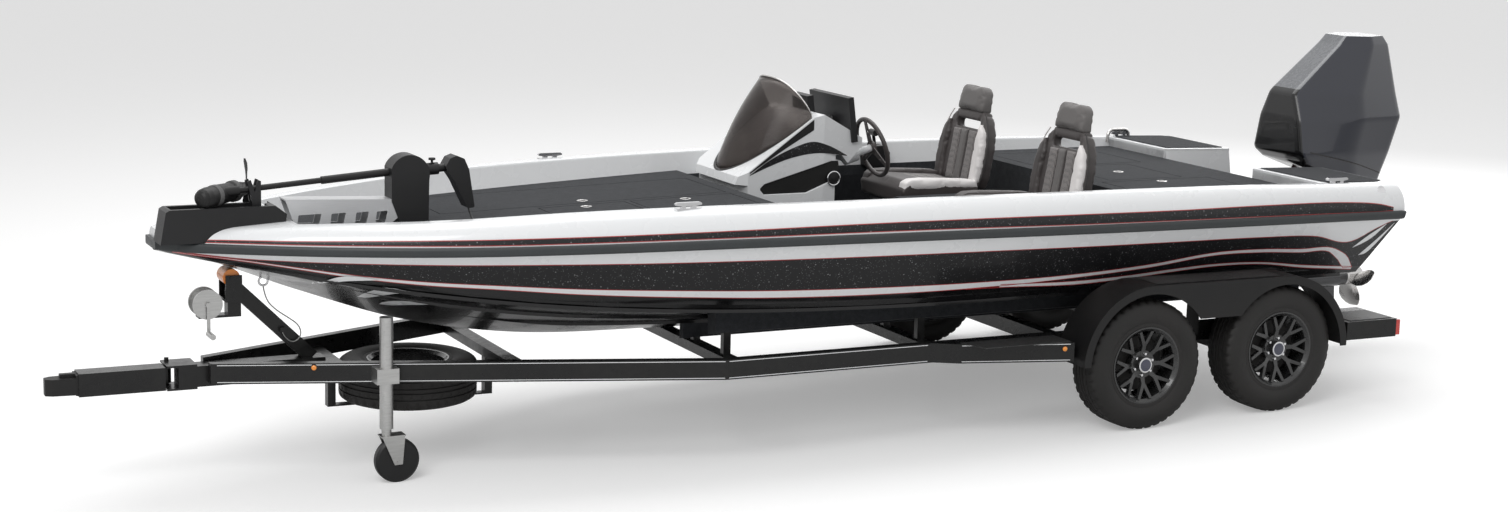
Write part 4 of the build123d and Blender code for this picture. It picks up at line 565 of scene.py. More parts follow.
def look(name):
    """A finish by its name: one Principled shader fed by one of the shared effects."""
    material = bpy.data.materials.get(name)
    if material:
        return material
    effect, colour, second, scale, depth, roughness, more = LOOKS[name]
    if isinstance(colour, str):
        colour = getattr(settings(), colour)
    if isinstance(second, float):
        second = [min(c * second, 1) for c in colour]
    material = bpy.data.materials.new(name)
    material.use_nodes = True
    nodes = material.node_tree.nodes
    links = material.node_tree.links
    shader = nodes["Principled BSDF"]
    for label, value in (("Metallic", more.get("metallic", 0.0)), ("Roughness", roughness),
                         ("IOR", more.get("ior", 1.5)), ("Coat Weight", more.get("coat", 0.0)),
                         ("Coat Roughness", 0.05), ("Transmission Weight", more.get("transmission", 0.0)),
                         ("Sheen Weight", more.get("sheen", 0.0)), ("Sheen Roughness", 0.5),
                         ("Specular IOR Level", more.get("shine", 0.5))):
        shader.inputs[label].default_value = value
    use = nodes.new("ShaderNodeGroup")
    group = effect.__name__.replace("_", " ")
    use.node_tree = bpy.data.node_groups.get(group) or effect(Effect(group))
    use.location = (-300, 0)
    for label, value in (("Colour", (*colour, 1)), ("Second", (*second, 1)), ("Scale", scale), ("Depth", depth),
                         ("Roughness", roughness)):
        use.inputs[label].default_value = value
    for label, socket in (("Colour", "Base Color"), ("Roughness", "Roughness"), ("Normal", "Normal")):
        if label in use.outputs:
            links.new(use.outputs[label], shader.inputs[socket])
    return material


# Measuring on the CAD pieces
def surface_of(*nodes):
    """Search trees of CAD nodes, for laying trim on them."""
    trees = []
    for node in nodes:
        work = bmesh.new()
        work.from_mesh(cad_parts[node].data)
        work.transform(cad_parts[node].matrix_world)
        trees.append(BVHTree.FromBMesh(work))
        work.free()
    return trees


def touch(trees, start, way, place=LEVEL):
    """First place where a level line meets the pieces, and its outward normal, as parked."""
    origin = place @ Vector(start)
    heading = (place.to_3x3() @ Vector(way)).normalized()
    best = None
    for tree in trees:
        spot, normal, index, distance = tree.ray_cast(origin, heading)
        if spot is not None and (best is None or distance < best[2]):
            best = (spot, normal if normal.dot(heading) < 0 else -normal, distance)
    return best


def stern_x(z):
    """Where the raked transom is, at a height."""
    return TRANSOM_FOOT + min(z - TRANSOM_KEEL, TRANSOM_RISE) * TRANSOM_RAKE


def spread(a, b, count):
    """Equal steps from a to b."""
    return [a + (b - a) * k / (count - 1) for k in range(count)]


def ribbon(shape, x0, x1, high, low, finish, proud, columns=120, rows=5, side=-1):
    """Band of paint on the hull side between two heights given at each x."""
    grid = []
    for r in range(rows):
        v = r / (rows - 1)
        line = []
        for x in spread(x0, x1, columns):
            z = high(x) * (1 - v) + low(x) * v
            x = min(x, stern_x(z) - 0.001)
            z = high(x) * (1 - v) + low(x) * v
            line.append((x, side * (side_y(x, z) + proud), z))
        grid.append(line)
    shape.grid(grid, finish)


def line_of(points):
    return lambda x: smooth_line(points, x)


def offset(function, amount):
    return lambda x: function(x) + amount


# Settings and operators
def colour_setting(name, description, default):
    return bpy.props.FloatVectorProperty(name=name, description=description, subtype="COLOR", size=3,
                                         min=0, max=1, default=default)


def size_setting(name, description, default, low, high):
    return bpy.props.FloatProperty(name=name, description=description, subtype="DISTANCE",
                                   unit="LENGTH", default=default, min=low, max=high)


class BassBoatSettings(bpy.types.PropertyGroup):
    """Sizes and colours of the boat that a user may change."""

    cap_colour: colour_setting("Cap", "White gelcoat of the cap and hull bands", (0.78, 0.79, 0.80))
    flake_colour: colour_setting("Flake base", "Colour under the metal flakes", (0.006, 0.006, 0.007))
    pin_colour: colour_setting("Pin lines", "Thin lines of the paint scheme", (0.46, 0.03, 0.03))
    carpet_colour: colour_setting("Carpet", "Marine carpet on the decks", (0.017, 0.018, 0.020))
    vinyl_colour: colour_setting("Seat shell", "Dark vinyl of the seats", (0.038, 0.032, 0.031))
    panel_colour: colour_setting("Seat panel", "Grey vinyl of the seats", (0.115, 0.108, 0.105))
    cowl_colour: colour_setting("Cowl", "Paint of the outboard's cowl", (0.016, 0.018, 0.028))
    pin_width: size_setting("Pin line width", "Width of the thin painted lines", 0.0036, 0.001, 0.02)
    tread_depth: size_setting("Tread depth", "Depth of the tyre grooves", 0.007, 0.002, 0.012)
    seat_swell: size_setting("Seat swell", "Most that a seat cushion may puff out", 0.010, 0.0, 0.03)


class BASSBOAT_OT_stage(bpy.types.Operator):
    """Set up the camera, the soft lights and the pale floor"""

    bl_idname = "bassboat.stage"
    bl_label = "Stage"

    def execute(self, context):
        scene = context.scene
        scene.view_settings.view_transform = "Standard"
        camera = bpy.data.cameras.new("camera")
        camera.sensor_width = CAMERA_SENSOR
        camera.lens = CAMERA_LENS
        camera.clip_end = 400
        holder = bpy.data.objects.new("camera", camera)
        holder.location = CAMERA_PLACE
        holder.rotation_euler = (math.pi / 2 - math.radians(CAMERA_PITCH), 0, -math.radians(CAMERA_YAW))
        scene.collection.objects.link(holder)
        scene.camera = holder

        world = bpy.data.worlds.new("soft sky")
        scene.world = world
        world.use_nodes = True
        nodes = world.node_tree.nodes
        links = world.node_tree.links
        back = nodes["Background"]
        back.inputs["Color"].default_value = (1, 1, 1, 1)
        path = nodes.new("ShaderNodeLightPath")
        seen = nodes.new("ShaderNodeMath")
        seen.operation = "MAXIMUM"
        links.new(path.outputs["Is Camera Ray"], seen.inputs[0])
        links.new(path.outputs["Is Transmission Ray"], seen.inputs[1])
        bright = nodes.new("ShaderNodeMath")
        bright.operation = "MAXIMUM"
        links.new(seen.outputs[0], bright.inputs[0])
        links.new(path.outputs["Is Glossy Ray"], bright.inputs[1])
        strength = nodes.new("ShaderNodeMapRange")
        strength.inputs["To Min"].default_value = 0.52
        strength.inputs["To Max"].default_value = 1.0
        links.new(bright.outputs[0], strength.inputs["Value"])
        links.new(strength.outputs[0], back.inputs["Strength"])

        for name, place, aim, size, power in (
                ("key light", (-7.0, -7.0, 8.5), (0, 0, 0.6), 6.0, 560),
                ("top light", (1.0, 2.5, 9.0), (0.3, 0, 0.8), 7.0, 420),
                ("rear light", (8.0, 4.0, 5.0), (1.0, 0, 0.8), 5.0, 200)):
            light = bpy.data.lights.new(name, "AREA")
            light.size = size
            light.energy = power
            lamp = bpy.data.objects.new(name, light)
            lamp.location = place
            lamp.rotation_euler = (Vector(aim) - Vector(place)).to_track_quat("-Z", "Y").to_euler()
            scene.collection.objects.link(lamp)

        mesh = bpy.data.meshes.new("floor")
        mesh.from_pydata([(-80, -80, 0), (80, -80, 0), (80, 80, 0), (-80, 80, 0)], [], [(0, 1, 2, 3)])
        floor = bpy.data.objects.new("floor", mesh)
        scene.collection.objects.link(floor)
        pale = bpy.data.materials.new("pale floor")
        pale.use_nodes = True
        nodes = pale.node_tree.nodes
        links = pale.node_tree.links
        shader = nodes["Principled BSDF"]
        shader.inputs["Base Color"].default_value = (0.80, 0.80, 0.80, 1)
        shader.inputs["Roughness"].default_value = 0.9
        shader.inputs["Specular IOR Level"].default_value = 0.1
        shader.inputs["Emission Color"].default_value = (1, 1, 1, 1)
        path = nodes.new("ShaderNodeLightPath")
        seen = nodes.new("ShaderNodeMath")
        seen.operation = "MULTIPLY"
        seen.inputs[1].default_value = 0.30
        links.new(path.outputs["Is Camera Ray"], seen.inputs[0])
        links.new(seen.outputs[0], shader.inputs["Emission Strength"])
        mesh.materials.append(pale)
        return {"FINISHED"}


class BASSBOAT_OT_cords(bpy.types.Operator):
    """Lay the bow safety cable and the trolling motor's cable"""

    bl_idname = "bassboat.cords"
    bl_label = "Cords"

    def execute(self, context):
        for name, points, radius, material, node, stiffness in (
                ("bow safety cable", BOW_CABLE, 0.003, "steel cable", "bow_cable", "stiff"),
                ("motor head cable", MOTOR_CABLE, 0.0045, "cable jacket", "motor_cable", "medium")):
            curve = bpy.data.curves.new(name, "CURVE")
            curve.dimensions = "3D"
            curve.bevel_depth = radius
            curve.bevel_resolution = 3
            curve.resolution_u = 16
            spline = curve.splines.new("NURBS")
            spline.points.add(len(points) - 1)
            for spot, point in zip(spline.points, points):
                spot.co = (*(LEVEL @ Vector(point)), 1)
            spline.order_u = 3
            spline.use_endpoint_u = True
            curve.materials.append(look(material))
            cord = bpy.data.objects.new(name.replace(" ", "_"), curve)
            context.scene.collection.objects.link(cord)
            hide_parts(node)
            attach(cord, "boat_and_trailer")
        return {"FINISHED"}


class BASSBOAT_OT_hull(bpy.types.Operator):
    """Skin the hull, paint its bands and run the rub rail round it"""

    bl_idname = "bassboat.hull"
    bl_label = "Hull"

    def execute(self, context):
        skin = Shape()
        rows = []
        columns = 150
        bottom = 0.45
        for k in range(columns):
            reach = (k / (columns - 1)) ** 1.15
            half = []
            for v in spread(0, 1, 15):
                x = BOW + (1.2 - BOW) * reach
                for step in range(3):
                    beam, sheer, chine, chine_z, keel, crown = station(x)
                    if v < bottom:
                        z = keel + (chine_z - keel) * v / bottom
                    else:
                        z = chine_z + (sheer - chine_z) * (v - bottom) / 0.55
                    x = BOW + (stern_x(z) - BOW) * reach
                half.append((x, side_y(x, z) + HULL_SKIN * min(v * 20, 1), z - HULL_SKIN * (v < bottom)))
            rows.append([(x, -y, z) for x, y, z in reversed(half)] + half[1:])
        skin.grid(rows)
        piece("hull_skin", skin, [look("gelcoat black")], smooth=24)

        strakes = Shape()
        for side in (-1, 1):
            for share, front in ((0.40, -3.9), (0.70, -4.5), (0.985, -4.9)):
                rows = []
                for x in spread(front, 1.04, 70):
                    beam, sheer, chine, chine_z, keel, crown = station(x)
                    y = chine * share
                    z = keel + (chine_z - keel) * share - HULL_SKIN
                    grow = min((x - front) / 0.5, 1)
                    rows.append([(x, side * (y - 0.03), z - 0.008),
                                 (x, side * (y + 0.012 * grow), z - 0.012 * grow),
                                 (x, side * (y + 0.016 * grow), z + 0.006)])
                strakes.grid(rows)
        piece("hull_strakes", strakes, [look("gelcoat black")], smooth=40)

        width = settings().pin_width
        paint = Shape()
        white, flake, red = 0, 1, 2
        band = line_of(BAND_HIGH)
        high, low = line_of(STRIPE_HIGH), line_of(STRIPE_LOW)
        wedge_high, wedge_low = line_of(WEDGE_HIGH), line_of(WEDGE_LOW)
        for side in (-1, 1):
            for start, end, upper, lower, colour, proud, columns, rows in (
                    (-5.29, RUB_RAIL_END, lambda x: station(x)[1] - 0.012, band, white, 0.0005, 200, 4),
                    (PAINT_FRONT, RUB_RAIL_END, band, high, flake, 0.0007, 200, 7),
                    (PAINT_FRONT, PAINT_REAR, high, low, white, 0.0007, 200, 3),
                    (WEDGE_TIP, PAINT_REAR, low, wedge_high, flake, 0.0004, 70, 4),
                    (WEDGE_FRONT, PAINT_REAR, wedge_high, wedge_low, white, 0.0007, 70, 3)):
                ribbon(paint, start, end, upper, lower, colour, HULL_SKIN + proud, columns, rows, side)
            for line, start, end in ((band, PAINT_FRONT, 1.22), (high, PAINT_FRONT, PAINT_REAR),
                                     (low, PAINT_FRONT, PAINT_REAR), (wedge_high, WEDGE_FRONT, PAINT_REAR),
                                     (wedge_low, WEDGE_TIP, PAINT_REAR)):
                ribbon(paint, start, end, offset(line, width / 2), offset(line, -width / 2), red,
                       HULL_SKIN + 0.0011, 200, 2, side)
            for upper, lower in CLAWS:
                ribbon(paint, upper[0][0], upper[-1][0], line_of(upper), line_of(lower), white,
                       HULL_SKIN + 0.0013, 16, 3, side)
            for upper, lower in FLAMES:
                ribbon(paint, upper[0][0], upper[-1][0], line_of(upper), line_of(lower), white,
                       HULL_SKIN + 0.0070, 24, 4, side)
        finishes = [look("gelcoat white"), look("black metal flake"), look("red pin line")]
        piece("hull_paint_bands", paint, finishes, smooth=60,
              weld=0)

        rail = Shape()
        form = ((0.001, -0.024), (0.011, -0.023), (0.0155, -0.018), (0.0165, -0.008), (0.0165, 0.006),
                (0.0150, 0.015), (0.010, 0.021), (0.001, 0.022))
        loops = []
        for x in spread(RUB_RAIL_END, BOW, 140):
            beam, sheer = station(x)[:2]
            loops.append([(x, -(beam + out), sheer + up) for out, up in form])
        beam, sheer = station(BOW)[:2]
        for angle in spread(0, 180, 13):
            a = math.radians(angle)
            turn = math.cos(a)
            ahead = math.sin(a) ** 0.6
            hand = 1 if angle < 90 else -1
            loops.append([(BOW - out * ahead,
                           -(beam * hand + out * turn) if angle in (0, 180) else -(beam + out) * turn,
                           sheer + up) for out, up in form])
        for x in spread(BOW, RUB_RAIL_END, 140):
            beam, sheer = station(x)[:2]
            loops.append([(x, beam + out, sheer + up) for out, up in form])
        rail.grid(loops)
        piece("rub_rail_strip", rail, [look("dark grey rub rail")], smooth=50)
        dress(["rub_rail"], look("dark grey rub rail"))
        dress(["hull"], look("gelcoat black"))
        return {"FINISHED"}


class BASSBOAT_OT_cap(bpy.types.Operator):
    """Roll the white gunwale cap over the edge of the boat and stripe it"""

    bl_idname = "bassboat.cap"
    bl_label = "Gunwale cap"

    def execute(self, context):
        cap = Shape()
        edge = CAP_EDGE

        def section(x, side, inner, depth):
            """Gunwale from the rub rail over the crown, and down its inner wall if it has one."""
            arc = shoulder_arc(x, 14, -CAP_SKIN)[0]
            crown = station(x)[5] + CAP_SKIN
            points = [(x, side * y, z if k < 13 else crown) for k, (y, z) in enumerate(arc)]
            last = arc[-1][0]
            if depth:
                stop = inner + edge
                points += [(x, side * (last + (stop - last) * t), crown) for t in (0.34, 0.67, 1)]
                points += [(x, side * (stop - edge * math.sin(a)), crown - edge * (1 - math.cos(a)))
                           for a in QUARTER[1:]]
                points += [(x, side * (inner - CAP_FLARE * 0.4), crown - 0.06),
                           (x, side * (inner - 0.030), depth)]
            else:
                points += [(x, side * last * (1 - t), crown) for t in (0.34, 0.67, 1)]
            return points

        for side in (-1, 1):
            cap.grid([section(x, side, 0, 0) for x in spread(BOW, POCKET_FRONT - edge, 26)])
            cap.grid([section(x, side, station(x)[0] - CAP_FLAT - 0.008, 1.085)
                      for x in spread(POCKET_FRONT - edge, POCKET_REAR + edge, 120)])
            stern = []
            for t in spread(0, 1, 10):
                x = POCKET_REAR + edge + (1.2825 - POCKET_REAR - edge) * t
                stern.append(section(x, side, NOTCH_HALF, 1.05))
            cap.grid(stern)
            inner = station(POCKET_REAR)[0] - CAP_FLAT
            crown = station(POCKET_REAR)[5] + CAP_SKIN
            cap.grid([[(POCKET_REAR + edge * (1 - math.sin(a)), side * y, crown - edge * (1 - math.cos(a)))
                       for a in QUARTER] +
                      [(POCKET_REAR, side * y, 1.10)] for y in spread(NOTCH_HALF, inner + 0.02, 8)])
        inner = station(POCKET_FRONT)[0] - CAP_FLAT
        crown = station(POCKET_FRONT)[5] + CAP_SKIN
        cap.grid([[(POCKET_FRONT - edge * (1 - math.sin(a)), y, crown - edge * (1 - math.cos(a)))
                   for a in QUARTER] +
                  [(POCKET_FRONT, y, 1.08)] for y in spread(-inner - 0.02, inner + 0.02, 12)])
        piece("gunwale_cap_skin", cap, [look("gelcoat white")], smooth=40)
        dress(["gunwale_cap"], look("gelcoat white"), 0.004)

        width = settings().pin_width
        bands = Shape()
        high, low = line_of(CAP_HIGH), line_of(CAP_LOW)
        for side in (-1, 1):
            ribbon(bands, -5.30, 1.20, high, low, 0, CAP_SKIN + 0.0007, 220, 5, side)
            for line in (high, low):
                ribbon(bands, -5.30, 1.20, offset(line, width / 2), offset(line, -width / 2), 1,
                       CAP_SKIN + 0.0012, 220, 2, side)
        piece("cap_paint_bands", bands, [look("black metal flake"), look("red pin line")], smooth=60,
              weld=0)
        return {"FINISHED"}


class BASSBOAT_OT_decks(bpy.types.Operator):
    """Carpet the decks and the lids, and add latches and pads"""

    bl_idname = "bassboat.decks"
    bl_label = "Decks"

    def execute(self, context):
        dress(["front_deck", "rear_deck", "cockpit_tub", "seat_boxes"], look("charcoal carpet"), 0.003)
        lids = ["lid_rod_starboard", "lid_port_forward", "lid_port_aft", "lid_rear_port", "lid_rear_centre",
                "lid_rear_starboard"]
        dress(lids, look("charcoal carpet"), 0.004)
        for lid in lids:
            low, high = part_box(lid)
            middle = (Vector(low) + Vector(high)) / 2
            tilt = Matrix.Rotation(0 if "rear" not in lid else NOSE_UP, 4, "Y")
            latch = Shape()
            latch.turned((0, 0, 0), (0, 0, 1), ((0, 0.030), (0.0016, 0.030), (0.0026, 0.028), (0.0026, 0.021),
                                                (0.0008, 0.019), (0.0006, 0.0)), 36)
            latch.plate([(-0.016, -0.006, 0.0008), (0.016, -0.006, 0.0008), (0.016, 0.006, 0.0008),
                         (-0.016, 0.006, 0.0008)], (0, 0, 0.002), 1)
            away = -1 if middle.y < -0.05 else 1
            reach = (high[1] - low[1]) / 2 - 0.06
            aside = middle.y + away * reach * (0 if "centre" in lid else -1)
            spot = touch(surface_of(lid), (middle.x, aside, 2.0), (0, 0, -1), UPRIGHT)
            piece(lid + "_latch", latch, [look("polished stainless steel"), look("moulded black plastic")], lid,
                  Matrix.Translation(spot[0] + Vector((0, 0, 0.0002))) @ tilt, smooth=40)
        pads = Shape()
        for side in (-1, 1):
            low = [(x, side * y, station(x)[5] + CAP_SKIN + 0.0002)
                   for x, y in ((0.835, 0.455), (1.252, 0.455), (1.252, 0.985), (1.20, 1.02), (0.88, 1.03),
                                (0.835, 0.985))]
            pads.plate(low if side > 0 else low[::-1], (0, 0, 0.005))
        piece("stern_pads", pads, [look("charcoal carpet")], smooth=20, soften=0.002)
        eye = Shape()
        x, z = 1.14, 1.178
        eye.turned((x, -side_y(x, z) - 0.0005, z), (0, -1, 0.25),
                   ((0, 0.026), (0.004, 0.026), (0.006, 0.023), (0.005, 0.019), (0.0055, 0.0)), 40)
        piece("stern_cap_plug", eye, [look("chrome")], smooth=40)
        dress(["cleats"], look("chrome"), 0.0015)
        dress(["grab_rails"], look("polished stainless steel"))
        return {"FINISHED"}


class BASSBOAT_OT_console(bpy.types.Operator):
    """Finish the console with its tinted screen, displays, wheel and throttle"""

    bl_idname = "bassboat.console"
    bl_label = "Console"

    def execute(self, context):
        dress(["console"], look("gelcoat white"), 0.010)
        dress(["displays"], look("moulded black plastic"), 0.006)
        dress(["steering_wheel"], look("dark seat vinyl"), 0.0015)
        dress(["throttle"], look("moulded black plastic"), 0.004)

        middle = 0.565
        visor = Shape()
        rows = []
        for v in spread(0, 1, 14):
            row = []
            for a in spread(-90, 90, 49):
                s, c = math.sin(math.radians(a)), math.cos(math.radians(a))
                foot = Vector((-2.090 + 0.425 * (1 - c), middle + 0.288 * s, 0))
                foot.z = 1.188 + (foot.x + 2.090) * 0.725
                head = Vector((-1.800 + 0.145 * (1 - c), middle + 0.262 * s, 1.702 - 0.19 * (1 - c) ** 1.3))
                bulge = math.sin(v * math.pi) * 0.018 * c
                row.append(foot.lerp(head, v) + Vector((-bulge, 0, bulge)))
            rows.append(row)
        visor.grid(rows)
        glass = piece("windshield_visor", visor, [look("smoked acrylic")], smooth=80,
                      replaces=("windshield",))
        wall = glass.modifiers.new("sheet", "SOLIDIFY")
        wall.thickness = 0.004
        trim = Shape()
        trim.tube(rows[-1], 0.0045, 8, 0)
        trim.tube(rows[0], 0.009, 8, 1, 0.6)
        finishes = [look("polished stainless steel"), look("moulded black plastic")]
        piece("windshield_trim", trim, finishes, smooth=60)

        for name, high, low, material, proud in (
                ("console_side_stripe",
                 ((-2.05, 1.20), (-1.929, 1.278), (-1.779, 1.344), (-1.667, 1.37), (-1.562, 1.342),
                  (-1.456, 1.288)),
                 ((-2.05, 1.196), (-1.94, 1.24), (-1.807, 1.283), (-1.665, 1.305), (-1.561, 1.301),
                  (-1.456, 1.284)),
                 "black metal flake", 0.0012),
                ("console_dash_band",
                 ((-2.05, 1.214), (-1.87, 1.346), (-1.665, 1.492)),
                 ((-2.05, 1.206), (-1.869, 1.318), (-1.665, 1.434)),
                 "satin black", 0.0014)):
            shape = Shape()
            top, bottom = line_of(high), line_of(low)
            shape.grid([[(x, CONSOLE_PORT - proud, top(x) * (1 - v) + bottom(x) * v)
                         for x in spread(high[0][0], high[-1][0], 30)] for v in spread(0, 1, 5)])
            piece(name, shape, [look(material)], smooth=60)
        # Side pocket: a flat satin black sheet just inside its opening, painted shade standing for the dark
        # inside of the pocket
        pocket_shade = Shape()
        pocket_shade.fan([(x, CONSOLE_PORT + 0.0114, z) for x, z in (
            (-1.986, 1.120), (-1.958, 1.144), (-1.545, 1.258), (-1.504, 1.258), (-1.496, 1.211),
            (-1.533, 1.154), (-1.702, 1.089), (-1.958, 1.089))])
        piece("console_pocket", pocket_shade, [look("satin black")], smooth=0)
        speaker = Shape()
        place = LEVEL @ Matrix.Translation((-1.536, CONSOLE_PORT - 0.0005, 1.162))
        speaker.turned((0, 0, 0), (0, -1, 0), ((0, 0.042), (0.005, 0.042), (0.007, 0.038), (0.006, 0.034),
                                               (0.003, 0.033)), 40, 0)
        speaker.turned((0, 0, 0), (0, -1, 0), ((0, 0.033), (0.004, 0.032), (0.005, 0.012), (0.007, 0.0)),
                       40, 1)
        piece("console_speaker", speaker, [look("chrome"), look("moulded black plastic")], BODY, place,
              smooth=40)
        glass = Shape()
        glass.plate([(0, -0.215, -0.105), (0, 0.215, -0.105), (0, 0.215, 0.105), (0, -0.215, 0.105)],
                    (0.002, 0, 0))
        place = LEVEL @ Matrix.Translation((-1.415, 0.5, 1.480)) @ Matrix.Rotation(math.radians(-8), 4, "Y") \
            @ Matrix.Translation((0.0172, 0, 0))
        piece("screen_wide", glass, [look("black screen glass")], BODY, place, smooth=30,
              soften=0.001)
        return {"FINISHED"}


CLOTH_STEPS = 20
SEAT_HALF = 0.252
SEAT_HINGE = 1.070


def puffed(shape, voxel, swell):
    """Stuffed form of a closed shape: an even fine mesh blown out by cloth pressure, up to a limit."""
    scene = bpy.context.scene
    mesh = bpy.data.meshes.new("stuffing")
    mesh.from_pydata([tuple(p) for p in shape.points], [], shape.faces)
    work = bmesh.new()
    work.from_mesh(mesh)
    bmesh.ops.remove_doubles(work, verts=work.verts, dist=1e-5)
    bmesh.ops.recalc_face_normals(work, faces=work.faces)
    work.to_mesh(mesh)
    work.free()
    form = bpy.data.objects.new("stuffing", mesh)
    scene.collection.objects.link(form)
    even = form.modifiers.new("even", "REMESH")
    even.mode = "VOXEL"
    even.voxel_size = voxel
    calm = form.modifiers.new("calm", "SMOOTH")
    calm.factor = 0.6
    calm.iterations = 6
    bpy.context.view_layer.update()
    fine = bpy.data.meshes.new_from_object(form.evaluated_get(bpy.context.evaluated_depsgraph_get()))
    form.modifiers.clear()
    form.data = fine
    bpy.data.meshes.remove(mesh)
    count = len(fine.vertices)
    rest = np.empty(count * 3)
    fine.vertices.foreach_get("co", rest)
    cloth = form.modifiers.new("stuffing", "CLOTH")
    cloth.settings.use_pressure = True
    cloth.settings.uniform_pressure_force = 4
    cloth.settings.effector_weights.gravity = 0
    cloth.settings.quality = 4
    cloth.point_cache.frame_start = 1
    cloth.point_cache.frame_end = CLOTH_STEPS
    for step in range(1, CLOTH_STEPS + 1):
        scene.frame_set(step)
    blown = form.evaluated_get(bpy.context.evaluated_depsgraph_get()).to_mesh()
    moved = np.empty(count * 3)
    blown.vertices.foreach_get("co", moved)
    form.modifiers.clear()
    scene.frame_set(1)
    shift = (moved - rest).reshape(-1, 3)
    far = np.linalg.norm(shift, axis=1)
    limit = np.minimum(1, swell / np.maximum(far, 1e-9))
    fine.vertices.foreach_set("co", rest + (shift * limit[:, None]).ravel())
    fine.update()
    bpy.data.objects.remove(form)
    return fine


class BASSBOAT_OT_seats(bpy.types.Operator):
    """Upholster the two bucket seats"""

    bl_idname = "bassboat.seats"
    bl_label = "Seats"

    def execute(self, context):
        swell = settings().seat_swell
        lean_back = Matrix.Translation((0, 0, SEAT_HINGE)) @ Matrix.Rotation(math.radians(10), 4, "Y")
        forms = []

        def stuffed(name, outline, deep, place, material, voxel=0.009, puff=swell, stands=False):
            """Cushion pushed out of its outlines. One that stands for the seat replaces the solid."""
            shape = Shape()
            for points in outline:
                shape.plate([place @ Vector(p) for p in points], place.to_3x3() @ Vector(deep))
            mesh = puffed(shape, voxel, puff)
            mesh.materials.clear()
            mesh.materials.append(material)
            for face in mesh.polygons:
                face.use_smooth = True
            forms.append((name, mesh, stands))

        h = SEAT_HALF
        wing_left = [(0.028, a * h, b) for a, b in ((-0.88, 0.01), (-0.98, 0.07), (-1.0, 0.15), (-0.99, 0.25),
                                                    (-0.93, 0.32), (-0.80, 0.385), (-0.66, 0.43), (-0.52, 0.43),
                                                    (-0.52, 0.01))]
        wing_right = [(x, -y, z) for x, y, z in wing_left][::-1]
        centre = [(0.034, a * h, b) for a, b in ((-0.53, 0.01), (0.53, 0.01), (0.53, 0.352), (-0.53, 0.352))]
        bridge = [(0.030, a * h, b) for a, b in ((-0.62, 0.400), (0.62, 0.400), (0.56, 0.455), (-0.56, 0.455))]
        shell = [wing_left, wing_right, centre, bridge]
        stuffed("back", shell, (0.068, 0, 0), lean_back, look("dark seat vinyl"), stands=True)
        head = [(0.020, a * h, b) for a, b in ((-0.52, 0.440), (-0.53, 0.50), (-0.47, 0.560), (-0.36, 0.585),
                                               (0.36, 0.585), (0.47, 0.560), (0.53, 0.50), (0.52, 0.440))]
        stuffed("head_rest", [head], (0.072, 0, 0), lean_back, look("grey seat vinyl"), 0.008)
        for side, name in ((-1, "port"), (1, "starboard")):
            panel = [(0.020, side * a * h, b) for a, b in ((0.16, 0.03), (0.50, 0.03), (0.52, 0.18),
                                                           (0.50, 0.335), (0.16, 0.335))]
            stuffed("back_mesh_" + name, [panel], (0.016, 0, 0), lean_back, look("seat spacer mesh"),
                    0.006, 0.004)
            roll = [(0.002, side * a * h, b) for a, b in ((0.60, 0.03), (0.90, 0.05), (0.95, 0.14),
                                                          (0.93, 0.25), (0.85, 0.33), (0.66, 0.38),
                                                          (0.58, 0.30))]
            stuffed("back_bolster_" + name, [roll], (0.045, 0, 0), lean_back,
                    look("white seat vinyl") if side < 0 else look("dark seat vinyl"), 0.007, 0.008)
        stripe = [(0.014, a * h, b) for a, b in ((-0.13, 0.03), (0.13, 0.03), (0.13, 0.335), (-0.13, 0.335))]
        stuffed("back_stripe", [stripe], (0.022, 0, 0), lean_back, look("grey seat vinyl"), 0.006, 0.004)

        flat = Matrix.Identity(4)
        base = [(x, -h, z) for x, z in ((-0.465, 1.018), (-0.470, 1.095), (-0.425, 1.135), (0.035, 1.100),
                                        (0.050, 1.018))]
        stuffed("cushion", [base], (0, 2 * h, 0), flat, look("dark seat vinyl"))
        for side, name in ((-1, "port"), (1, "starboard")):
            roll = [(x, side * 0.98 * h, z) for x, z in ((-0.455, 1.09), (-0.44, 1.135), (-0.40, 1.152),
                                                         (0.02, 1.128), (0.03, 1.09))]
            stuffed("cushion_bolster_" + name, [roll], (0, -side * 0.075, 0), flat,
                    look("white seat vinyl") if side < 0 else look("dark seat vinyl"), 0.007, 0.008)
        insert = [(-0.40, -0.16, 1.124), (-0.40, 0.16, 1.124), (-0.02, 0.15, 1.098), (-0.02, -0.15, 1.098)]
        stuffed("cushion_mesh", [insert], (0, 0, 0.014), flat, look("seat spacer mesh"), 0.006, 0.004)

        for seat, x, y in (("seat_driver", -0.700, 0.380), ("seat_passenger", -0.640, -0.540)):
            for name, mesh, stands in forms:
                copy = mesh.copy()
                copy.transform(LEVEL @ Matrix.Translation((x, y, 0)))
                pad = bpy.data.objects.new(seat + "_" + name, copy)
                context.scene.collection.objects.link(pad)
                if stands:
                    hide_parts(seat)
                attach(pad, "boat_and_trailer")
            piping = Shape()
            for side in (-1, 1):
                line = [lean_back @ Vector((0.030, side * a * h * 1.02, b))
                        for a, b in ((0.90, 0.03), (0.985, 0.09), (1.005, 0.17), (0.99, 0.26), (0.92, 0.33),
                                     (0.78, 0.395), (0.66, 0.435))]
                piping.tube(line, 0.004, 8, 0 if side > 0 else 1)
            piece(seat + "_piping", piping, [look("white seat vinyl"), look("dark thread")], BODY,
                  LEVEL @ Matrix.Translation((x, y, 0)), smooth=60)
        for name, mesh, stands in forms:
            bpy.data.meshes.remove(mesh)
        return {"FINISHED"}


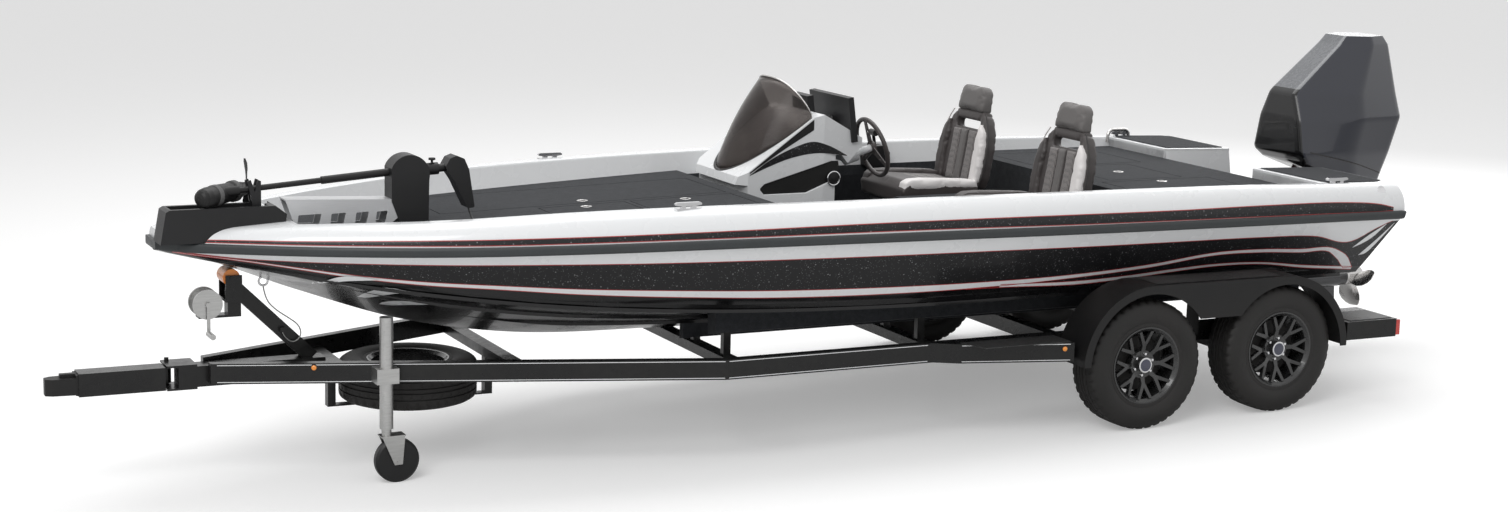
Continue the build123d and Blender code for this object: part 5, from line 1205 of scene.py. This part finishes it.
class BASSBOAT_OT_trolling_motor(bpy.types.Operator):
    """Finish the bow trolling motor"""

    bl_idname = "bassboat.trolling_motor"
    bl_label = "Trolling motor"

    def execute(self, context):
        dress(["troll_base", "troll_tower"], look("moulded black plastic"), 0.004)
        dress(["troll_motor"], look("satin black"), 0.002)
        dress(["troll_arm"], look("silver painted arm"), 0.003)
        dress(["troll_propeller"], look("moulded black plastic"), 0.0015)
        strap = Shape()
        way = Vector((0.8, 0.6, 0.04)).normalized()
        nose = Vector((-5.165, -0.280, 1.284))
        for along in (0.10, 0.235):
            strap.turned(nose + way * along, way,
                         ((0, 0.0490), (0.001, 0.0515), (0.027, 0.0515), (0.028, 0.0490)), 40)
        piece("pod_straps", strap, [look("grey webbing")], smooth=40)
        return {"FINISHED"}


def cowl_foot(x):
    """Height of the cowl's slanting foot."""
    return COWL_CUT_TOP - (min(max(x, COWL_CUT_FRONT), COWL_CUT_REAR) - COWL_CUT_FRONT) * COWL_CUT_FALL


class BASSBOAT_OT_outboard(bpy.types.Operator):
    """Finish the outboard's cowl, midsection and propeller"""

    bl_idname = "bassboat.outboard"
    bl_label = "Outboard"

    def shell(self):
        """Cowl with soft corners, cut off along its slanting foot."""
        rows = rounded([(COWL_FRONT + fore, COWL_REAR - aft, nose, middle, tail,
                         COWL_FOOT + share * (COWL_TOP - COWL_FOOT))
                        for fore, aft, nose, middle, tail, share in COWL_ROWS], False)
        fore, aft, nose, middle, tail, top = rows[-1]
        rows.append((fore + 0.012, aft - 0.012, nose - 0.012, middle - 0.012, tail - 0.012, top))
        rings = []
        for fore, aft, nose, middle, tail, height in rows:
            half = (fore + aft) / 2
            corners = [(fore, -nose), (half, -middle), (aft, -tail), (aft, tail), (half, middle), (fore, nose)]
            rings.append([(x, y, height) for x, y in rounded(corners, True)])
        for column in range(len(rings[0])):
            for k in range(len(rings) - 2, -1, -1):
                x, y, z = rings[k][column]
                above = rings[k + 1][column]
                cut = cowl_foot(x)
                if z < cut:
                    over = above[2] - cowl_foot(above[0])
                    t = over / (over + cut - z) if over > 0 else 0
                    rings[k][column] = tuple(a + (b - a) * t for a, b in zip(above, (x, y, z)))
        shape = Shape()

        def colour(i, j):
            """Number of the finish: the cowl's own, its dark front, or its pale top and visor."""
            x, y, z = rings[i][j]
            front = x < rows[i][0] + 0.012 and abs(y) < rows[i][2] * 0.97
            if z > 1.62 and front:
                return 2
            return 1 if front and z > 1.19 else 0

        shape.grid(rings, colour, round_columns=True)
        shape.fan(rings[-1], 2)
        shape.fan(rings[0][::-1], 1)
        finishes = [look("cowl blue grey"), look("gelcoat black"), look("cowl pale grey")]
        return piece("cowl_shell", shape, finishes, "outboard_motor", smooth=42, replaces=("cowl",))

    def execute(self, context):
        shell = self.shell()
        dress(["engine_block"], look("engine block"), 0.003)
        dress(["gearcase", "swivel_bracket", "transom_bracket"], look("outboard dark enamel"), 0.005)
        dress(["propeller"], look("polished stainless steel"), 0.0015)

        work = bmesh.new()
        work.from_mesh(shell.data)
        tree = [BVHTree.FromBMesh(work)]
        work.free()

        def decal(name, high, low, material, columns=24, rows=8):
            """Thin band laid on both sides of the cowl between two lines."""
            shape = Shape()
            for side in (-1, 1):
                grid = []
                for v in spread(0, 1, rows):
                    line = []
                    for x in spread(high[0][0], high[-1][0], columns):
                        z = smooth_line(high, x) * (1 - v) + smooth_line(low, x) * v
                        spot = touch(tree, (x, side * 1.0, z), (0, -side, 0))
                        if spot is None:
                            line.append(line[-1] if line else LEVEL @ Vector((x, side * 0.1, z)))
                        else:
                            line.append(spot[0] + spot[1] * 0.002)
                    grid.append(line)
                shape.grid(grid)
            piece(name, shape, [material], "outboard_motor", UPRIGHT, smooth=60, weld=0)

        decal("cowl_seam", ((1.36, 1.268), (1.70, 1.190), (2.00, 1.100)),
              ((1.36, 1.262), (1.70, 1.184), (2.00, 1.094)), look("dark thread"))
        decal("cowl_accent", ((1.50, 1.130), (1.75, 1.075)), ((1.50, 1.118), (1.75, 1.068)),
              look("red pin line"), 12, 3)
        return {"FINISHED"}


class BASSBOAT_OT_trailer(bpy.types.Operator):
    """Finish the trailer's frame, fenders, lamps and stands"""

    bl_idname = "bassboat.trailer"
    bl_label = "Trailer"

    def execute(self, context):
        for nodes, name, soften in (
                (("rails", "crossmembers", "tongue_fixed", "tongue_swing", "winch_post"),
                 "trailer gloss black", 0.003),
                (("axles",), "trailer gloss black", 0.002), (("coupler", "fenders"), "satin black", 0.003),
                (("bunks",), "charcoal carpet", 0.006), (("tail_lamps",), "red lens", 0.004),
                (("bow_roller",), "amber urethane", 0.004),
                (("winch", "jack_tube", "caster_fork"), "zinc plated steel", 0.001),
                (("caster_wheel",), "moulded black plastic", 0.004)):
            dress(nodes, look(name), soften)

        rails = surface_of("rails")
        stripes = Shape()
        for side in (-1, 1):
            for x0, x1 in ((-5.05, -2.76), (-2.74, -1.62), (-1.46, -0.90)):
                for drop in (0.008, 0.091):
                    rows = [[], []]
                    for x in spread(x0, x1, 40):
                        fall = 0.032 * min(max((-2.75 - x) / 2.328, 0), 1)
                        z = RAIL_TOP - fall - drop
                        spot = touch(rails, (x, side * 2.0, z), (0, -side, 0))
                        if spot is None:
                            continue
                        lift = LEVEL.to_3x3() @ Vector((0, 0, 0.0017))
                        rows[0].append(spot[0] + spot[1] * 0.0007 + lift)
                        rows[1].append(spot[0] + spot[1] * 0.0007 - lift)
                    if len(rows[0]) > 1:
                        stripes.grid(rows)
        piece("rail_pin_stripes", stripes, [look("gelcoat white")], BODY, UPRIGHT, smooth=0,
              weld=0)

        pads = Shape()
        for side in (-1, 1):
            for corners in (((-1.46, 1.03), (-0.89, 1.03), (-0.89, 1.195), (-1.40, 1.195)),
                            ((0.88, 1.03), (1.17, 1.03), (1.17, 1.25), (0.88, 1.25))):
                pads.plate([(x, side * y, RAIL_TOP) for x, y in corners], (0, 0, 0.004))
        piece("step_pads", pads, [look("diamond tread pad")], smooth=20, soften=0.0012)
        fenders = surface_of("fenders")
        walk = Shape()
        for side in (-1, 1):
            rows = []
            for x in spread(-0.40, 0.40, 12):
                row = []
                for y in (1.05, 1.24):
                    spot = touch(fenders, (x, side * y, 1.5), (0, 0, -1))
                    row.append(spot[0] + Vector((0, 0, 0.003)))
                rows.append(row)
            walk.grid(rows)
        piece("fender_pads", walk, [look("diamond tread pad")], BODY, UPRIGHT, smooth=30)

        markers = Shape()
        for side in (-1, 1):
            for x, z in ((-4.62, 0.44), (-0.93, 0.455)):
                spot = touch(rails, (x, side * 2.0, z), (0, -side, 0))
                if spot:
                    markers.turned(spot[0] + spot[1] * 0.0003, spot[1], ((0, 0.017), (0.002, 0.017)), 28, 0)
                    markers.turned(spot[0] + spot[1] * 0.0003, spot[1],
                                   ((0, 0.013), (0.006, 0.012), (0.009, 0.007), (0.0095, 0.0)), 28, 1)
        piece("amber_markers", markers, [look("moulded black plastic"), look("amber lens")], BODY, UPRIGHT,
              smooth=40)
        return {"FINISHED"}


class BASSBOAT_OT_wheels(bpy.types.Operator):
    """Mount tyres with tread, rims, lug nuts and hub caps"""

    bl_idname = "bassboat.wheels"
    bl_label = "Wheels"

    def execute(self, context):
        depth = settings().tread_depth

        def tyre(name, node, body, place):
            """Tyre with a full profile, its grooves cut in and its blocks split round the tread."""
            shape = Shape()
            half = ((0.200, 0.086), (0.207, 0.096), (0.216, 0.0985), (0.226, 0.0975), (0.232, 0.1010),
                    (0.252, 0.1085), (0.276, 0.1108), (0.299, 0.1080), (0.318, 0.1015), (0.330, 0.0945),
                    (0.3385, 0.0880), (0.3435, 0.0805), (0.3450, 0.0680), (0.3452, 0.0520))
            grooves = ((0.3453, 0.0500), (0.3453 - depth, 0.0480), (0.3453 - depth, 0.0420), (0.3455, 0.0400),
                       (0.3457, 0.0220), (0.3457, 0.0170), (0.3457 - depth, 0.0150), (0.3457 - depth, 0.0080),
                       (0.3459, 0.0060))
            profile = [(r, -y) for r, y in half + grooves] + [(r, y) for r, y in reversed(half + grooves)]
            rows = []
            count = 240
            for k in range(count):
                angle = 2 * math.pi * k / count
                row = []
                for r, y in profile:
                    cut = 0
                    if r > 0.334 and abs(y) > 0.053 and k % 6 in (0, 1):
                        cut = depth * 0.9
                    elif r > 0.344 and 0.018 < abs(y) < 0.041 and (k + 2) % 6 == 0:
                        cut = depth * 0.6
                    row.append(((r - cut) * math.cos(angle), y, (r - cut) * math.sin(angle)))
                rows.append(row)
            shape.grid(rows, 0, round_rows=True)
            piece(name, shape, [look("tyre rubber")], body, place, smooth=28, replaces=(node,))

        rim = look("satin black alloy")
        for fore, x in (("front", -AXLE_HALF), ("rear", AXLE_HALF)):
            for hand, side in (("port", -1), ("starboard", 1)):
                corner = fore + "_" + hand
                body = "wheel_" + corner
                place = Matrix.Translation((AXLE_X + x, side * WHEEL_Y, TYRE_RADIUS))
                tyre("tyre_tread_" + corner, "tyre_" + corner, body, place)
                dress(["rim_" + corner], rim, 0.0025)
                drum = Shape()
                drum.turned((0, 0, 0), (0, side, 0), ((-0.062, 0.150), (-0.058, 0.158), (-0.050, 0.158),
                                                      (-0.046, 0.152), (0.004, 0.150), (0.010, 0.144),
                                                      (0.012, 0.060)), 48, 0)
                piece("brake_drum_" + corner, drum, [look("tyre rubber")], body, place)
                trim = Shape()
                for k in range(6):
                    a = math.radians(60 * k + 20)
                    spot = (0.057 * math.cos(a), side * 0.055, 0.057 * math.sin(a))
                    trim.turned(spot, (0, side, 0),
                                ((0, 0.0095), (0.013, 0.0095), (0.018, 0.0070), (0.020, 0.0)), 12)
                face = (0, side * 0.0870, 0)
                trim.turned(face, (0, side, 0),
                            ((0, 0.040), (0.002, 0.0405), (0.0035, 0.038), (0.0025, 0.0325)), 40)
                trim.turned(face, (0, side, 0),
                            ((0, 0.033), (0.0025, 0.0325), (0.004, 0.020), (0.0045, 0.0)), 40, 1)
                piece("hub_trim_" + corner, trim, [look("chrome"), look("hub cap dark blue")], body, place)
        low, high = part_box("spare_tyre")
        centre = (Vector(low) + Vector(high)) / 2
        spare = (Matrix.Translation(centre) @ Matrix.Rotation(NOSE_UP, 4, "Y")
                 @ Matrix.Rotation(math.pi / 2, 4, "X"))
        tyre("tyre_tread_spare", "spare_tyre", BODY, spare)
        dress(["spare_rim"], rim, 0.0025)
        return {"FINISHED"}


PIECES = (
    BASSBOAT_OT_stage, BASSBOAT_OT_cords, BASSBOAT_OT_hull, BASSBOAT_OT_cap, BASSBOAT_OT_decks,
    BASSBOAT_OT_console, BASSBOAT_OT_seats, BASSBOAT_OT_trolling_motor, BASSBOAT_OT_outboard,
    BASSBOAT_OT_trailer, BASSBOAT_OT_wheels,
)


class BASSBOAT_PT_panel(bpy.types.Panel):
    """Lists the boat's pieces and colours"""

    bl_idname = "BASSBOAT_PT_panel"
    bl_label = "Bass Boat"
    bl_space_type = "VIEW_3D"
    bl_region_type = "UI"
    bl_category = "Boat"

    def draw(self, context):
        column = self.layout.column()
        for name in BassBoatSettings.__annotations__:
            column.prop(context.scene.bass_boat, name)
        for operator in PIECES:
            column.operator(operator.bl_idname)


def register():
    for kind in (BassBoatSettings, *PIECES, BASSBOAT_PT_panel):
        bpy.utils.register_class(kind)
    bpy.types.Scene.bass_boat = bpy.props.PointerProperty(type=BassBoatSettings)


def unregister():
    del bpy.types.Scene.bass_boat
    for kind in (BASSBOAT_PT_panel, *reversed(PIECES), BassBoatSettings):
        bpy.utils.unregister_class(kind)


def main():
    register()
    for operator in PIECES:
        group, name = operator.bl_idname.split(".")
        getattr(getattr(bpy.ops, group), name)()


if __name__ == "__main__":
    main()
